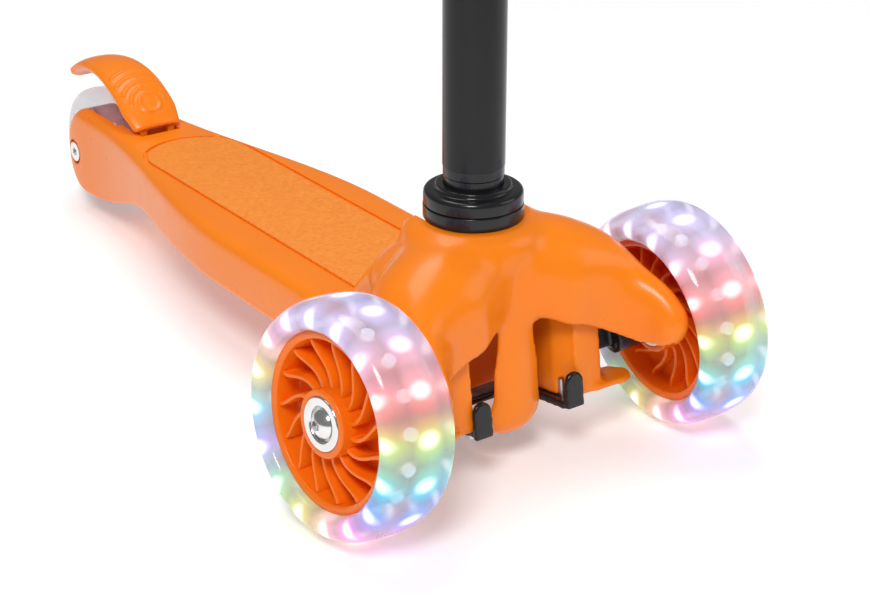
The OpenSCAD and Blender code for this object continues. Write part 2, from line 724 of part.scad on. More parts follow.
module bar_end(side) color(ORANGE) at_stem(bar_z) sided(side) translate([bar_len / 2, 0, 0])
    rotate([0, 90, 0]) {
        cylinder(r = grip_r + 0.5, h = 5);
        translate([0, 0, -14]) cylinder(r = bar_r - tube_wall, h = 14 + eps);
    }

// ---------------------------------------------------------------- front wheels

function tyre_outline(outer, width, seat) = let (mid = (outer + seat - 3) / 2, half = outer - mid)
    [for (a = [-150 : 10 : 150])
        let (c = cos(a), s = sin(a))
        [max(seat, mid + half * sign(c) * pow(abs(c), 0.8)), width / 2 * sign(s) * pow(abs(s), 0.8)]];

module tyre_ring(outer, width, seat)
    rotate_extrude($fn = 96) polygon(concat([[seat, -width * 0.36]],
        [for (p = tyre_outline(outer, width, seat)) if (p[0] > seat + 0.2) p], [[seat, width * 0.36]]));

module front_tyre(side) color(CLEAR) at_wheel(side) difference() {
    tyre_ring(front_r, front_tyre_w, front_rim_r);
    // a pocket for each light
    for (i = [0 : light_count - 1]) rotate([0, 0, (i + 0.5) * 360 / light_count])
        translate([front_rim_r - 2, 0, 0]) rotate([0, 90, 0]) cylinder(r = light_r + 0.1, h = light_h + 2.4);
}

module front_lights(side) color("white") at_wheel(side)
    for (i = [0 : light_count - 1]) rotate([0, 0, (i + 0.5) * 360 / light_count])
        translate([front_rim_r + 0.15, 0, 0]) rotate([0, 90, 0]) cylinder(r = light_r, h = light_h - 0.2);

// Centre line of one S-shaped vane, as an angle at each radius.
function vane_angle(t) = 24 * smooth(t);

module vane(inner, outer, thick) {
    steps = 8;
    mid = [for (i = [0 : steps]) let (t = i / steps) [inner + t * (outer - inner), vane_angle(t)]];
    half = thick / 2;
    polygon(concat(
        [for (p = mid) [p[0] * cos(p[1]) + half * sin(p[1]), p[0] * sin(p[1]) - half * cos(p[1])]],
        [for (i = [steps : -1 : 0]) let (p = mid[i])
            [p[0] * cos(p[1]) - half * sin(p[1]), p[0] * sin(p[1]) + half * cos(p[1])]]
    ));
}

module hub_bores(half, trim) {
    translate([0, 0, -half - 1]) cylinder(r = bearing_r - 2.5, h = 2 * half + 2);
    for (s = [0, 1]) mirror([0, 0, s]) {
        translate([0, 0, half - trim - bearing_w]) cylinder(r = bearing_r, h = bearing_w + trim + 5);
    }
}

module front_rim(side) color(ORANGE) at_wheel(side) difference() {
    union() {
        rotate_extrude($fn = 96) polygon([
            [front_rim_r, -front_rim_w / 2], [front_rim_r, front_rim_w / 2],
            [front_rim_r - 1.5, front_rim_w / 2 + 0.6], [front_rim_r - rim_lip, front_rim_w / 2],
            [front_rim_r - rim_lip - 1, 1.5], [front_rim_r - rim_lip - 1, -1.5],
            [front_rim_r - rim_lip, -front_rim_w / 2], [front_rim_r - 1.5, -front_rim_w / 2 - 0.6]
        ]);
        translate([0, 0, -1.4]) cylinder(r = front_rim_r - rim_lip, h = 2.8);
        translate([0, 0, -boss_half]) cylinder(r = boss_r, h = 2 * boss_half);
        for (i = [0 : vane_count - 1]) rotate([0, 0, i * 360 / vane_count])
            translate([0, 0, vane_setback - front_rim_w / 2])
                linear_extrude(height = front_rim_w - vane_setback - 2)
                    vane(boss_r - 1, front_rim_r - rim_lip - 0.3, 1.9);
    }
    hub_bores(boss_half, trim_t);
    for (s = [0, 1]) mirror([0, 0, s]) translate([0, 0, boss_half - trim_t]) cylinder(r = trim_r, h = 10);
}

module bearings_at(half) for (s = [0, 1]) mirror([0, 0, s]) translate([0, 0, half])
    ring(bearing_r, axle_r, bearing_w);

module front_bearings(side) color(STEEL) at_wheel(side) bearings_at(boss_half - trim_t - bearing_w);

module front_trims(side) color(STEEL) at_wheel(side) for (s = [0, 1]) mirror([0, 0, s])
    translate([0, 0, boss_half - trim_t]) ring(trim_r, bolt_head_r + 0.9, trim_t + 0.4);

// Sleeve between the bearings, and a stand-off between the inner bearing and the knuckle.
module front_spacer(side) color("gray") at_wheel(side) {
    inside = boss_half - trim_t - bearing_w - 0.1;
    translate([0, 0, -inside]) ring(race_r, axle_r - run_gap, 2 * inside);
    translate([0, 0, -axle_inner]) ring(race_r, axle_r - run_gap, axle_inner - boss_half + trim_t - 0.1);
}

module front_axle(side) color(STEEL) at_wheel(side) difference() {
    seat = boss_half - trim_t + 0.1;
    union() {
        translate([0, 0, kingpin_x + 20 - track / 2])
            cylinder(r = axle_r - run_gap, h = seat + track / 2 - kingpin_x - 20);
        translate([0, 0, seat]) intersection() {
            cylinder(r = bolt_head_r, h = bolt_head_h);
            translate([0, 0, bolt_head_h - 9.2]) sphere(r = 9.2);
        }
    }
    translate([0, 0, seat + bolt_head_h - 3]) cylinder(r = 2.9, h = 5, $fn = 6);
}

// ---------------------------------------------------------------- rear wheel

module rear_tyre() color(CLEAR) at_rear() rotate([0, 90, 0]) tyre_ring(rear_r, rear_tyre_w, rear_rim_r);

module rear_rim() color(DEEP_ORANGE) at_rear() rotate([0, 90, 0]) difference() {
    union() {
        translate([0, 0, -rear_tyre_w * 0.38]) ring(rear_rim_r, rear_rim_r - 3, rear_tyre_w * 0.76, $fn = 96);
        translate([0, 0, -1.2]) cylinder(r = rear_rim_r - 2, h = 2.4);
        translate([0, 0, -rear_boss_half]) cylinder(r = 14, h = 2 * rear_boss_half);
        for (i = [0 : 9]) rotate([0, 0, i * 36])
            translate([0, 0, -rear_tyre_w * 0.33]) linear_extrude(height = rear_tyre_w * 0.66)
                vane(13, rear_rim_r - 2.5, 1.8);
    }
    hub_bores(rear_boss_half, 0);
}

module rear_bearings() color(STEEL) at_rear() rotate([0, 90, 0]) bearings_at(rear_boss_half - bearing_w);

module rear_spacer() color("gray") at_rear() rotate([0, 90, 0]) {
    inside = rear_boss_half - bearing_w - 0.1;
    translate([0, 0, -inside]) ring(race_r, axle_r - run_gap, 2 * inside);
    for (s = [0, 1]) mirror([0, 0, s])
        translate([0, 0, rear_boss_half + 0.1])
            ring(race_r, axle_r - run_gap, cheek_gap - rear_boss_half - 0.1);
}

module rear_axle_bolt() color(STEEL) at_rear() rotate([0, 90, 0]) difference() {
    end = fork_w / 2 - counterbore_d;
    union() {
        translate([0, 0, -end]) cylinder(r = axle_r - run_gap, h = 2 * end + 3);
        translate([0, 0, -end - 3]) cylinder(r = 6.5, h = 3);
    }
    translate([0, 0, -end - 4]) cylinder(r = 2.9, h = 3, $fn = 6);
}

module rear_axle_nut() color(STEEL) at_rear() rotate([0, 90, 0])
    translate([0, 0, fork_w / 2 - counterbore_d]) difference() {
        cylinder(r = 7, h = 3.2, $fn = 6);
        translate([0, 0, -1]) cylinder(r = axle_r - run_gap, h = 6);
    }

// ---------------------------------------------------------------- foot brake

// The pedal's back follows one arc, from its foot on the deck over the wheel to its tip.
arc_y = -19;
arc_r = 76;
arc_z = brake_crest - arc_r;
pedal_t = 5;
foot_angle = 141;
tip_angle = 50;

module pedal_side() {
    outer = [for (a = [foot_angle : -(foot_angle - tip_angle) / 16 : tip_angle])
        [arc_y + arc_r * cos(a), arc_z + arc_r * sin(a)]];
    inner = [for (a = [tip_angle + 2 : (foot_angle - tip_angle - 4) / 16 : foot_angle - 2])
        [arc_y + (arc_r - pedal_t) * cos(a), arc_z + (arc_r - pedal_t) * sin(a)]];
    polygon(concat(outer, inner));
}

// Seen from above, the pedal is widest at its foot and rounds off at its tip.
module pedal_plan() {
    foot_y = arc_y + arc_r * cos(foot_angle) - 2;
    tip_y = arc_y + arc_r * cos(tip_angle) + 1;
    arc = [for (a = [0 : 15 : 180]) [14 * cos(a), tip_y - 12 + 12 * sin(a)]];
    polygon(concat([[-brake_w / 2 + 3, foot_y], [brake_w / 2 - 3, foot_y], [brake_w / 2, foot_y + 12],
        [brake_w / 2 - 1, foot_y + 40]], arc, [[1 - brake_w / 2, foot_y + 40], [-brake_w / 2, foot_y + 12]]));
}

hinge_half = cheek_gap - 1.5;

module foot_brake() color(ORANGE) difference() {
    union() {
        translate([0, rear_y, 0]) intersection() {
            across(brake_w + 4) pedal_side();
            linear_extrude(height = 200) pedal_plan();
        }
        // raised rings on the pedal's back
        for (r = [[14, 0.9], [8, 1.6]]) translate([0, rear_y + arc_y, arc_z]) rotate([38, 0, 0])
            translate([0, 0, arc_r - 3]) cylinder(r = r[0], h = 2.2 + r[1]);
        // hinge ears down into the slot
        for (x = [-hinge_half, hinge_half - 5]) translate([x, 0, 0]) {
            translate([0, brake_pin_y, brake_pin_z]) rotate([0, 90, 0]) cylinder(r = 6.5, h = 5);
            intersection() {
                translate([0, brake_pin_y - 6.5, brake_pin_z]) cube([5, 13, 40]);
                translate([0, rear_y + arc_y, arc_z]) rotate([0, 90, 0]) cylinder(r = arc_r - 1, h = 5);
            }
        }
    }
    translate([-30, brake_pin_y, brake_pin_z]) rotate([0, 90, 0]) cylinder(r = brake_pin_r + run_gap, h = 60);
    // nothing of the foot reaches into the deck
    for (x = [-60 - hinge_half, hinge_half])
        translate([x, brake_pin_y - 40, 0]) cube([60, 50, deck_top + side_gap]);
    translate([-60, brake_pin_y - 60, 0]) cube([120, 51, deck_top + side_gap]);
}

module brake_pin() color(STEEL) translate([-brake_pin_half, brake_pin_y, brake_pin_z]) rotate([0, 90, 0])
    cylinder(r = brake_pin_r, h = 2 * brake_pin_half);

brake_pin_half = deck_half(brake_pin_y) - 4;

module brake_spring() color(STEEL) translate([-hinge_half + 6, brake_pin_y, brake_pin_z]) rotate([0, 90, 0])
    coil(brake_pin_r + 2.4, 0.8, 2 * hinge_half - 12, 5);

deck();
deck_screws();
front_cover();
steering_housing();
skid_plate();
skid_plate_screws();
kingpins();
knuckle(1);  // knuckle_left
knuckle(-1);  // knuckle_right
bushes(1);  // bushes_left
bushes(-1);  // bushes_right
tie_bar();
tie_pin(1);  // tie_pin_left
tie_pin(-1);  // tie_pin_right
centring_springs();
stem_socket();
socket_screws();
collar_cap();
stem_insert();
stem_bolt();
lower_tube();
clamp_body();
clamp_rod();
clamp_nut();
clamp_lever();
upper_tube();
glide_bush();
tee_joint();
handlebar();
grip(1);  // grip_left
grip(-1);  // grip_right
bar_end(1);  // bar_end_left
bar_end(-1);  // bar_end_right
front_tyre(1);  // front_tyre_left
front_tyre(-1);  // front_tyre_right
front_rim(1);  // front_rim_left
front_rim(-1);  // front_rim_right
front_lights(1);  // front_lights_left
front_lights(-1);  // front_lights_right
front_bearings(1);  // front_bearings_left
front_bearings(-1);  // front_bearings_right
front_trims(1);  // front_trims_left
front_trims(-1);  // front_trims_right
front_spacer(1);  // front_spacer_left
front_spacer(-1);  // front_spacer_right
front_axle(1);  // front_axle_left
front_axle(-1);  // front_axle_right
rear_tyre();
rear_rim();
rear_bearings();
rear_spacer();
rear_axle_bolt();
rear_axle_nut();
foot_brake();
brake_pin();
brake_spring();
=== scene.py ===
# %% [markdown]
# # A child's kick scooter with lights in its front wheels
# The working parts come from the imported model: every tube, axle and joint already sits in its
# real place. This script adds the surface that a person sees. Mouldings get soft edges, wheels
# get rounded lips and curved vanes, and each material gets its own grain and gloss.

import json
import math

import bmesh
import bpy
from mathutils import Matrix, Vector


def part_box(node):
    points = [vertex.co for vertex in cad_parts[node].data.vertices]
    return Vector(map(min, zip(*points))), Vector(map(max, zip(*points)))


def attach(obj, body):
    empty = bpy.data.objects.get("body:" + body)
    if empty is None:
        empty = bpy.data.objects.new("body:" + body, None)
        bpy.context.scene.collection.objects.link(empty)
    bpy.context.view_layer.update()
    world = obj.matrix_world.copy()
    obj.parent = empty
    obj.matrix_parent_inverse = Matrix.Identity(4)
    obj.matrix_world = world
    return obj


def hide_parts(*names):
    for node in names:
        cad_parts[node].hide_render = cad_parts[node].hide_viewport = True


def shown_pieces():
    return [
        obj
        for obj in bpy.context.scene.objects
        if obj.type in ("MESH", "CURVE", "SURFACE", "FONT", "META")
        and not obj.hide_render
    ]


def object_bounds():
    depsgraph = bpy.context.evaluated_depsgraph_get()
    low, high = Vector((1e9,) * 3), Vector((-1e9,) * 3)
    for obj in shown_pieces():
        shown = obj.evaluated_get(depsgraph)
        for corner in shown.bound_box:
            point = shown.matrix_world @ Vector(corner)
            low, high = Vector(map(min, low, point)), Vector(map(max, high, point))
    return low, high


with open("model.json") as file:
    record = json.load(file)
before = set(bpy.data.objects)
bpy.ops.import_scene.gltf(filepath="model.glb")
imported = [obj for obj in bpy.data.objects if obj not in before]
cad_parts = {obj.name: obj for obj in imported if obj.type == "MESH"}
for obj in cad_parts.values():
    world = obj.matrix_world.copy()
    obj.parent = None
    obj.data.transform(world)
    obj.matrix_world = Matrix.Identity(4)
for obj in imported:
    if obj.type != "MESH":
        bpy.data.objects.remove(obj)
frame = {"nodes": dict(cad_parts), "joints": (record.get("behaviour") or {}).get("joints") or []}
cad_box = [list(corner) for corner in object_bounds()]
cad = frame["nodes"]
joints = {j["name"]: j for j in frame["joints"]}
MM = 0.001
print("parts:", len(cad), "box:", cad_box)

# %% [markdown]
# ## Writing shader maths as sums
# A shader is a graph of nodes, and a long formula becomes a long chain of Math nodes. The Wire
# class wraps one socket, so that `1 - mask * 0.5` adds the nodes by itself. Any other node
# comes from Finish.add, which takes its kind, its settings and its sockets.

# %% Wires and finishes
class Wire:
    def __init__(self, finish, socket):
        self.finish, self.socket = finish, socket

    def _sum(self, operation, first, second):
        return self.finish.add("Math", {"operation": operation}, {0: first, 1: second})

    def __add__(self, other): return self._sum("ADD", self, other)
    def __radd__(self, other): return self._sum("ADD", other, self)
    def __sub__(self, other): return self._sum("SUBTRACT", self, other)
    def __rsub__(self, other): return self._sum("SUBTRACT", other, self)
    def __mul__(self, other): return self._sum("MULTIPLY", self, other)
    def __rmul__(self, other): return self._sum("MULTIPLY", other, self)
    def __truediv__(self, other): return self._sum("DIVIDE", self, other)
    def __pow__(self, other): return self._sum("POWER", self, other)


class Finish:
    def __init__(self, name, **constants):
        self.material = bpy.data.materials.new(name)
        self.material.use_nodes = True
        self.tree = self.material.node_tree
        self.surface = self.tree.nodes["Principled BSDF"]
        for socket, value in constants.items():
            self.surface.inputs[socket.replace("_", " ")].default_value = value
        self.place = self.add("TexCoord", out="Object")

    def add(self, kind, settings=None, sockets=None, out=0):
        made = self.tree.nodes.new("ShaderNode" + kind)
        for key, value in (settings or {}).items():
            if key == "stops":
                ramp = made.color_ramp
                while len(ramp.elements) < len(value):
                    ramp.elements.new(0.5)
                for element, (at, colour) in zip(ramp.elements, value):
                    element.position, element.color = at, (*colour, 1.0)
            else:
                setattr(made, key, value)
        for key, value in (sockets or {}).items():
            if isinstance(value, Wire):
                self.tree.links.new(value.socket, made.inputs[key])
            else:
                made.inputs[key].default_value = value
        return Wire(self, made.outputs[out])

    def noise(self, scale, detail=2.0, place=None):
        sockets = {"Vector": place or self.place, "Scale": scale, "Detail": detail}
        return self.add("TexNoise", None, sockets, out="Fac")

    def mix(self, amount, first, second):
        sockets = {"Factor": amount, "A": first, "B": second}
        return self.add("Mix", {"data_type": "RGBA"}, sockets, out="Result")

    def feed(self, socket, wire):
        self.tree.links.new(wire.socket, self.surface.inputs[socket])

    def bump(self, height, strength, distance):
        sockets = {"Height": height, "Strength": strength, "Distance": distance}
        self.feed("Normal", self.add("Bump", None, sockets))


def rgb(red, green, blue):
    return (red, green, blue, 1.0)

# %% [markdown]
# ## The mouldings' finishes
# Glossy moulded plastic is never one flat colour. It has slow, faint clouds of tone, a very
# fine skin texture from the mould, and small changes of gloss where hands and shoes rub it.
# All of these read Object coordinates, in metres, so the grain has a real size on every piece.

# %% Moulded plastics
def moulded(name, colour, shade, rough=0.3, skin=0.05, coat=0.12):
    finish = Finish(name, IOR=1.35, Coat_Weight=coat, Coat_Roughness=0.12)
    cloud = finish.noise(14.0, 3.0)
    finish.feed("Base Color", finish.mix(cloud, rgb(*shade), rgb(*colour)))
    rub = finish.noise(60.0, 4.0)
    finish.feed("Roughness", rub * 0.16 + (rough - 0.08))
    finish.bump(finish.noise(1500.0, 2.0), skin, 0.0004)
    return finish.material


orange = moulded("orange plastic", (1.0, 0.255, 0.008), (0.95, 0.215, 0.005), 0.30)
deep_orange = moulded("deep orange plastic", (0.86, 0.19, 0.012), (0.72, 0.13, 0.008), 0.34)
rim_orange = moulded("wheel orange plastic", (0.98, 0.21, 0.006), (0.90, 0.16, 0.004), 0.27)
rear_orange = moulded("rear wheel plastic", (0.85, 0.10, 0.012), (0.68, 0.06, 0.008), 0.27)
black = moulded("black plastic", (0.016, 0.016, 0.018), (0.008, 0.008, 0.009), 0.22, 0.05, 0.25)
nylon = moulded("bush nylon", (0.80, 0.78, 0.70), (0.70, 0.68, 0.60), 0.45, 0.04, 0.0)

# %% [markdown]
# The panel that the foot stands on is rougher. Its skin is a field of small pebbles over a
# coarser grain, so a cell pattern and a noise are added and feed both the tone and the bump.

# %% The grip panel's pebbled skin
def pebbled(name, colour, shade):
    finish = Finish(name, IOR=1.46)
    pebbles = finish.add("TexVoronoi", {"feature": "SMOOTH_F1"},
                         {"Vector": finish.place, "Scale": 620.0, "Smoothness": 0.6}, out="Distance")
    grain = finish.noise(420.0, 5.0)
    height = grain * 0.9 + pebbles * 0.5
    finish.feed("Base Color", finish.mix(grain * 1.3 - 0.15, rgb(*shade), rgb(*colour)))
    finish.feed("Roughness", grain * 0.25 + 0.38)
    finish.bump(height, 0.55, 0.0009)
    return finish.material


grip_skin = pebbled("pebbled orange", (1.0, 0.34, 0.035), (0.86, 0.20, 0.010))

# %% [markdown]
# Plated and polished steel show fine drawn streaks, so their noise is squeezed along one
# direction. The stem's paint is nearly black and smooth, and the rubber of the grips is dull.

# %% Metals, paint and rubber
def metal(name, colour, rough, streak=0.0):
    finish = Finish(name, Metallic=1.0)
    squeezed = finish.add("Mapping", None, {"Vector": finish.place, "Scale": (40.0, 900.0, 900.0)})
    fine = finish.noise(1.0, 3.0, squeezed)
    tone = finish.noise(90.0, 2.0)
    finish.feed("Base Color", finish.mix(tone, rgb(*[c * 0.8 for c in colour]), rgb(*colour)))
    finish.feed("Roughness", fine * streak + rough)
    finish.bump(fine, 0.04, 0.0002)
    return finish.material


steel = metal("zinc plated steel", (0.66, 0.66, 0.65), 0.28, 0.16)
bright = metal("polished steel", (0.86, 0.86, 0.85), 0.12, 0.10)

paint = Finish("gloss black paint", IOR=1.3, Coat_Weight=0.15, Coat_Roughness=0.04)
paint_dark, paint_light = rgb(0.006, 0.006, 0.007), rgb(0.013, 0.013, 0.015)
paint.feed("Base Color", paint.mix(paint.noise(20.0), paint_dark, paint_light))
paint.feed("Roughness", paint.noise(70.0, 3.0) * 0.1 + 0.16)
paint.bump(paint.noise(500.0, 1.0), 0.02, 0.0003)
tube_paint = paint.material

soft = Finish("grip rubber", IOR=1.5)
rubber_dark, rubber_light = rgb(0.012, 0.012, 0.013), rgb(0.03, 0.03, 0.032)
soft.feed("Base Color", soft.mix(soft.noise(120.0, 3.0), rubber_dark, rubber_light))
soft.feed("Roughness", soft.noise(300.0, 3.0) * 0.2 + 0.6)
soft.bump(soft.noise(1300.0, 3.0), 0.25, 0.0004)
rubber = soft.material

# %% [markdown]
# ## Clear tyres that glow
# The tyres are cast clear plastic with a ring of lights inside. Clear plastic this thick looks
# milky, and it spreads each light into a soft coloured cloud. Real refraction of every light
# would be slow and noisy, so the surface is a half-clear milk whose glow depends on two simple
# things: the angle around the axle, and the distance to the nearest light.

# %% Wheel places
def wheel_place(joint_name):
    """Local +Z runs out along the axle and local +X points straight up."""
    joint = joints[joint_name]
    out = Vector(joint["axis"]).normalized()
    up = (Vector((0, 0, 1)) - out * out.z).normalized()
    turn = Matrix((up, out.cross(up), out)).transposed().to_4x4()
    return Matrix.Translation(joint["pos_m"]) @ turn


places = {side: wheel_place(side + "_wheel_spin") for side in ("left", "right")}
places["rear"] = wheel_place("rear_wheel_spin")

# %% [markdown]
# The colours go once round the wheel and meet where they began. They are written as a screen
# shows them, because that is easier to judge, and turned into amounts of light.

# %% Tyre colours and sizes
LIGHTS = 16
FRONT_RIM_R, FRONT_R, REAR_RIM_R, REAR_R = 0.045, 0.060, 0.027, 0.040


def tint(red, green, blue):
    """A colour as it looks on a screen, from 0 to 255, turned into light amounts."""
    return tuple((c / 255) ** 2.2 for c in (red, green, blue))


RAINBOW = [
    (0.00, tint(188, 184, 228)), (0.07, tint(206, 190, 226)), (0.13, tint(236, 160, 172)),
    (0.18, tint(238, 146, 140)), (0.22, tint(196, 218, 112)), (0.29, tint(80, 200, 222)),
    (0.34, tint(104, 142, 240)), (0.40, tint(226, 138, 220)), (0.46, tint(240, 178, 190)),
    (0.52, tint(222, 212, 120)), (0.60, tint(150, 214, 170)), (0.66, tint(176, 160, 232)),
    (0.72, tint(130, 204, 226)), (0.78, tint(226, 210, 120)), (0.86, tint(230, 168, 200)),
    (0.93, tint(190, 186, 230)), (1.00, tint(188, 184, 228)),
]

# %% [markdown]
# One function makes all three tyres. The distance to the nearest light has a core that is
# nearly white, a haze in the light's colour, and a band that joins the hazes. On the tread the
# depth below the surface takes over from the radius, so the glow wraps round the tyre.

# %% The tyre's finish
def glowing_tyre(name, place, direction, glow, rim_r, outer_r):
    """glow is 1 for a tyre lit by its lights; a small value paints a faint painted glow into a clear tyre
    without lights.
    """
    finish = Finish(name, IOR=1.4, Coat_Weight=0.3, Coat_Roughness=0.05, Emission_Strength=0.7 * glow)
    local = finish.add("Mapping", {"vector_type": "TEXTURE"}, {
        "Vector": finish.place, "Location": place.to_translation(), "Rotation": place.to_euler()})
    x, y, z = (finish.add("SeparateXYZ", None, {0: local}, out=i) for i in range(3))
    radius = (x * x + y * y) ** 0.5
    turn = finish.add("Math", {"operation": "ARCTAN2"}, {0: y * direction, 1: x}) / (2 * math.pi)
    turn = finish.add("Math", {"operation": "FRACT"}, {0: turn + 1.0})
    step = finish.add("Math", {"operation": "FRACT"}, {0: turn * LIGHTS})
    spacing = 2 * math.pi * outer_r * 0.87 / LIGHTS
    along = finish.add("Math", {"operation": "ABSOLUTE"}, {0: step - 0.5}) * spacing
    middle = rim_r + 0.45 * (outer_r - rim_r)
    away = finish.add("Math", {"operation": "ABSOLUTE"}, {0: radius - middle})
    inward = finish.add("Math", {"operation": "ABSOLUTE"}, {0: z})
    off = finish.add("Math", {"operation": "MINIMUM"}, {0: away, 1: inward * 0.8})
    reach = (along * along + off * off * 0.6) ** 0.5

    def falloff(value, near, far):
        """1 up to near, and 0 past far."""
        sockets = {"Value": value, "From Min": far, "From Max": near, "To Min": 0.0, "To Max": 1.0}
        return finish.add("MapRange", {"interpolation_type": "SMOOTHSTEP"}, sockets)

    core, haze = falloff(reach, 0.0012, 0.0052), falloff(reach, 0.002, 0.013)
    band = falloff(off, 0.002, 0.0125)
    colour = finish.add("ValToRGB", {"stops": RAINBOW}, {"Fac": turn}, out="Color")
    # Painted light: where the glow falls, the lights' colours are painted into the base colour, and the tyre
    # is made less clear.
    painted_glow = (band * 0.7 + haze * 0.3) * glow
    swirl = finish.noise(60.0, 2.0)
    glass = finish.mix(swirl, rgb(0.42, 0.43, 0.49), rgb(0.56, 0.57, 0.63))
    finish.feed("Base Color", finish.mix(painted_glow, glass, colour))
    lit = finish.mix(haze * 0.5 + band * 0.1, rgb(0.0, 0.0, 0.0), colour)
    finish.feed("Emission Color", finish.mix(core, lit, rgb(1.4, 1.4, 1.4)))
    finish.feed("Roughness", finish.noise(200.0, 2.0) * 0.1 + 0.08)
    finish.feed("Alpha", painted_glow * 0.5 + swirl * 0.08 + (0.28 + 0.1 * glow))
    finish.bump(finish.noise(90.0, 2.0), 0.05, 0.001)
    return finish.material


tyre_finish = {
    "left": glowing_tyre("lit tyre left", places["left"], 1.0, 1.0, FRONT_RIM_R, FRONT_R),
    "right": glowing_tyre("lit tyre right", places["right"], -1.0, 1.0, FRONT_RIM_R, FRONT_R),
    # The rear tyre holds no lights: its glow of 0.05 paints a faint glow and tint at the places where lights
    # would sit.
    "rear": glowing_tyre("clear tyre rear", places["rear"], 1.0, 0.05, REAR_RIM_R, REAR_R),
}

lamp = Finish("light pellet", Emission_Strength=0.5, Roughness=0.3)
lamp.feed("Base Color", lamp.mix(lamp.noise(300.0), rgb(0.9, 0.9, 1.0), rgb(1.0, 1.0, 1.0)))
lamp.feed("Emission Color", lamp.mix(lamp.noise(9.0, 1.0), rgb(0.8, 0.9, 1.0), rgb(1.0, 0.85, 0.9)))
light_finish = lamp.material
print("finishes:", len(bpy.data.materials))

# %% [markdown]
# ## Helpers for shapes
# Three ways of making a form cover most of this scooter. A lathe turns an outline around an
# axis, for tyres, rims and collars. A loft skins a row of cross sections, for the deck and the
# pedal. And a voxel remesh, followed by smoothing, melts the sharp edges of a working part
# into the soft radii of a moulding.

# %% Outlines and mesh helpers
def rounded(corners, steps=5):
    """Corners are (x, y, radius). Returns the closed outline with each corner rounded."""
    outline = []
    for i, (x, y, radius) in enumerate(corners):
        here = Vector((x, y))
        before = Vector(corners[i - 1][:2]) - here
        after = Vector(corners[(i + 1) % len(corners)][:2]) - here
        reach = min(radius, before.length * 0.49, after.length * 0.49)
        if reach < 1e-6:
            outline.append((x, y))
            continue
        first, last = here + before.normalized() * reach, here + after.normalized() * reach
        for k in range(steps + 1):
            t = k / steps
            p = first * (1 - t) ** 2 + here * 2 * t * (1 - t) + last * t * t
            outline.append((p.x, p.y))
    return outline


def as_mesh(name, points, faces):
    data = bpy.data.meshes.new(name)
    data.from_pydata([tuple(p) for p in points], [], faces)
    shape = bpy.data.objects.new(name, data)
    bpy.context.scene.collection.objects.link(shape)
    clean(shape)
    return shape


def clean(shape):
    """Merges doubles, dissolves degenerate edges and faces, and points every face outwards."""
    mesh = bmesh.new()
    mesh.from_mesh(shape.data)
    bmesh.ops.remove_doubles(mesh, verts=mesh.verts, dist=1e-6)
    bmesh.ops.dissolve_degenerate(mesh, edges=mesh.edges, dist=1e-7)
    bmesh.ops.recalc_face_normals(mesh, faces=mesh.faces)
    mesh.to_mesh(shape.data)
    mesh.free()


def turned(name, outline, place=Matrix(), count=128):
    """Turns a closed (radius, height) outline around local Z."""
    points, faces, n = [], [], len(outline)
    for i in range(count):
        a = 2 * math.pi * i / count
        points += [place @ Vector((r * math.cos(a), r * math.sin(a), z)) for r, z in outline]
    for i in range(count):
        j = (i + 1) % count
        faces += [(i * n + k, j * n + k, j * n + (k + 1) % n, i * n + (k + 1) % n) for k in range(n)]
    return as_mesh(name, points, faces)


def lofted(name, sections):
    """Skins a row of closed sections, each a list of as many points, and caps both ends."""
    n = len(sections[0])
    faces = [(i * n + k, i * n + (k + 1) % n, (i + 1) * n + (k + 1) % n, (i + 1) * n + k)
             for i in range(len(sections) - 1) for k in range(n)]
    faces += [tuple(reversed(range(n))), tuple(range((len(sections) - 1) * n, len(sections) * n))]
    return as_mesh(name, [p for s in sections for p in s], faces)


def block(name, low, high):
    (a, b, c), (d, e, f) = low, high
    ring = [(a, b), (d, b), (d, e), (a, e)]
    return lofted(name, [[(x, y, z) for x, y in ring] for z in (c, f)])


def prism(name, outline, low, high, axis=2):
    """An outline stood up along Z, or laid across the scooter along X."""
    if axis == 2:
        return lofted(name, [[(x, y, h) for x, y in outline] for h in (low, high)])
    return lofted(name, [[(h, y, z) for y, z in outline] for h in (low, high)])


def bake(shape):
    """Applies every modifier."""
    graph = bpy.context.evaluated_depsgraph_get()
    result = bpy.data.meshes.new_from_object(shape.evaluated_get(graph))
    old = shape.data
    shape.modifiers.clear()
    shape.data = result
    if old.users == 0:
        bpy.data.meshes.remove(old)
    return shape


def carve(shape, *tools, operation="DIFFERENCE"):
    """Cuts, joins or keeps what is shared with each tool, and removes the tool."""
    for tool in tools:
        cut = shape.modifiers.new("carve", "BOOLEAN")
        cut.operation, cut.solver, cut.object = operation, "MANIFOLD", tool
        bake(shape)
        bpy.data.objects.remove(tool)
    return shape


def soften(shape, voxel, rounds, amount=0.5):
    """Melts sharp edges: remesh in voxels, then smooth."""
    grid = shape.modifiers.new("voxels", "REMESH")
    grid.mode, grid.voxel_size = "VOXEL", voxel
    if rounds:
        melt = shape.modifiers.new("melt", "SMOOTH")
        melt.factor, melt.iterations = amount, rounds
    return bake(shape)


def copied(node):
    """A merged copy of a working part's mesh, safe to reshape."""
    shape = bpy.data.objects.new(node + "_copy", cad[node].data.copy())
    bpy.context.scene.collection.objects.link(shape)
    clean(shape)
    return shape


def shade(shape, degrees=35):
    mesh = bmesh.new()
    mesh.from_mesh(shape.data)
    for face in mesh.faces:
        face.smooth = True
    for edge in mesh.edges:
        edge.smooth = len(edge.link_faces) == 2 and edge.calc_face_angle(0) < math.radians(degrees)
    mesh.to_mesh(shape.data)
    mesh.free()


def done(shape, name, body, finish, slot, *stands_for, degrees=35):
    """Names a piece, gives it its finish and lets it ride on its body."""
    shape.name = shape.data.name = name
    shape.data.materials.clear()
    shape.data.materials.append(finish)
    shade(shape, degrees)
    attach(shape, body)
    if stands_for:
        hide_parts(*stands_for)
    print(name, "faces:", len(shape.data.polygons))
    return shape


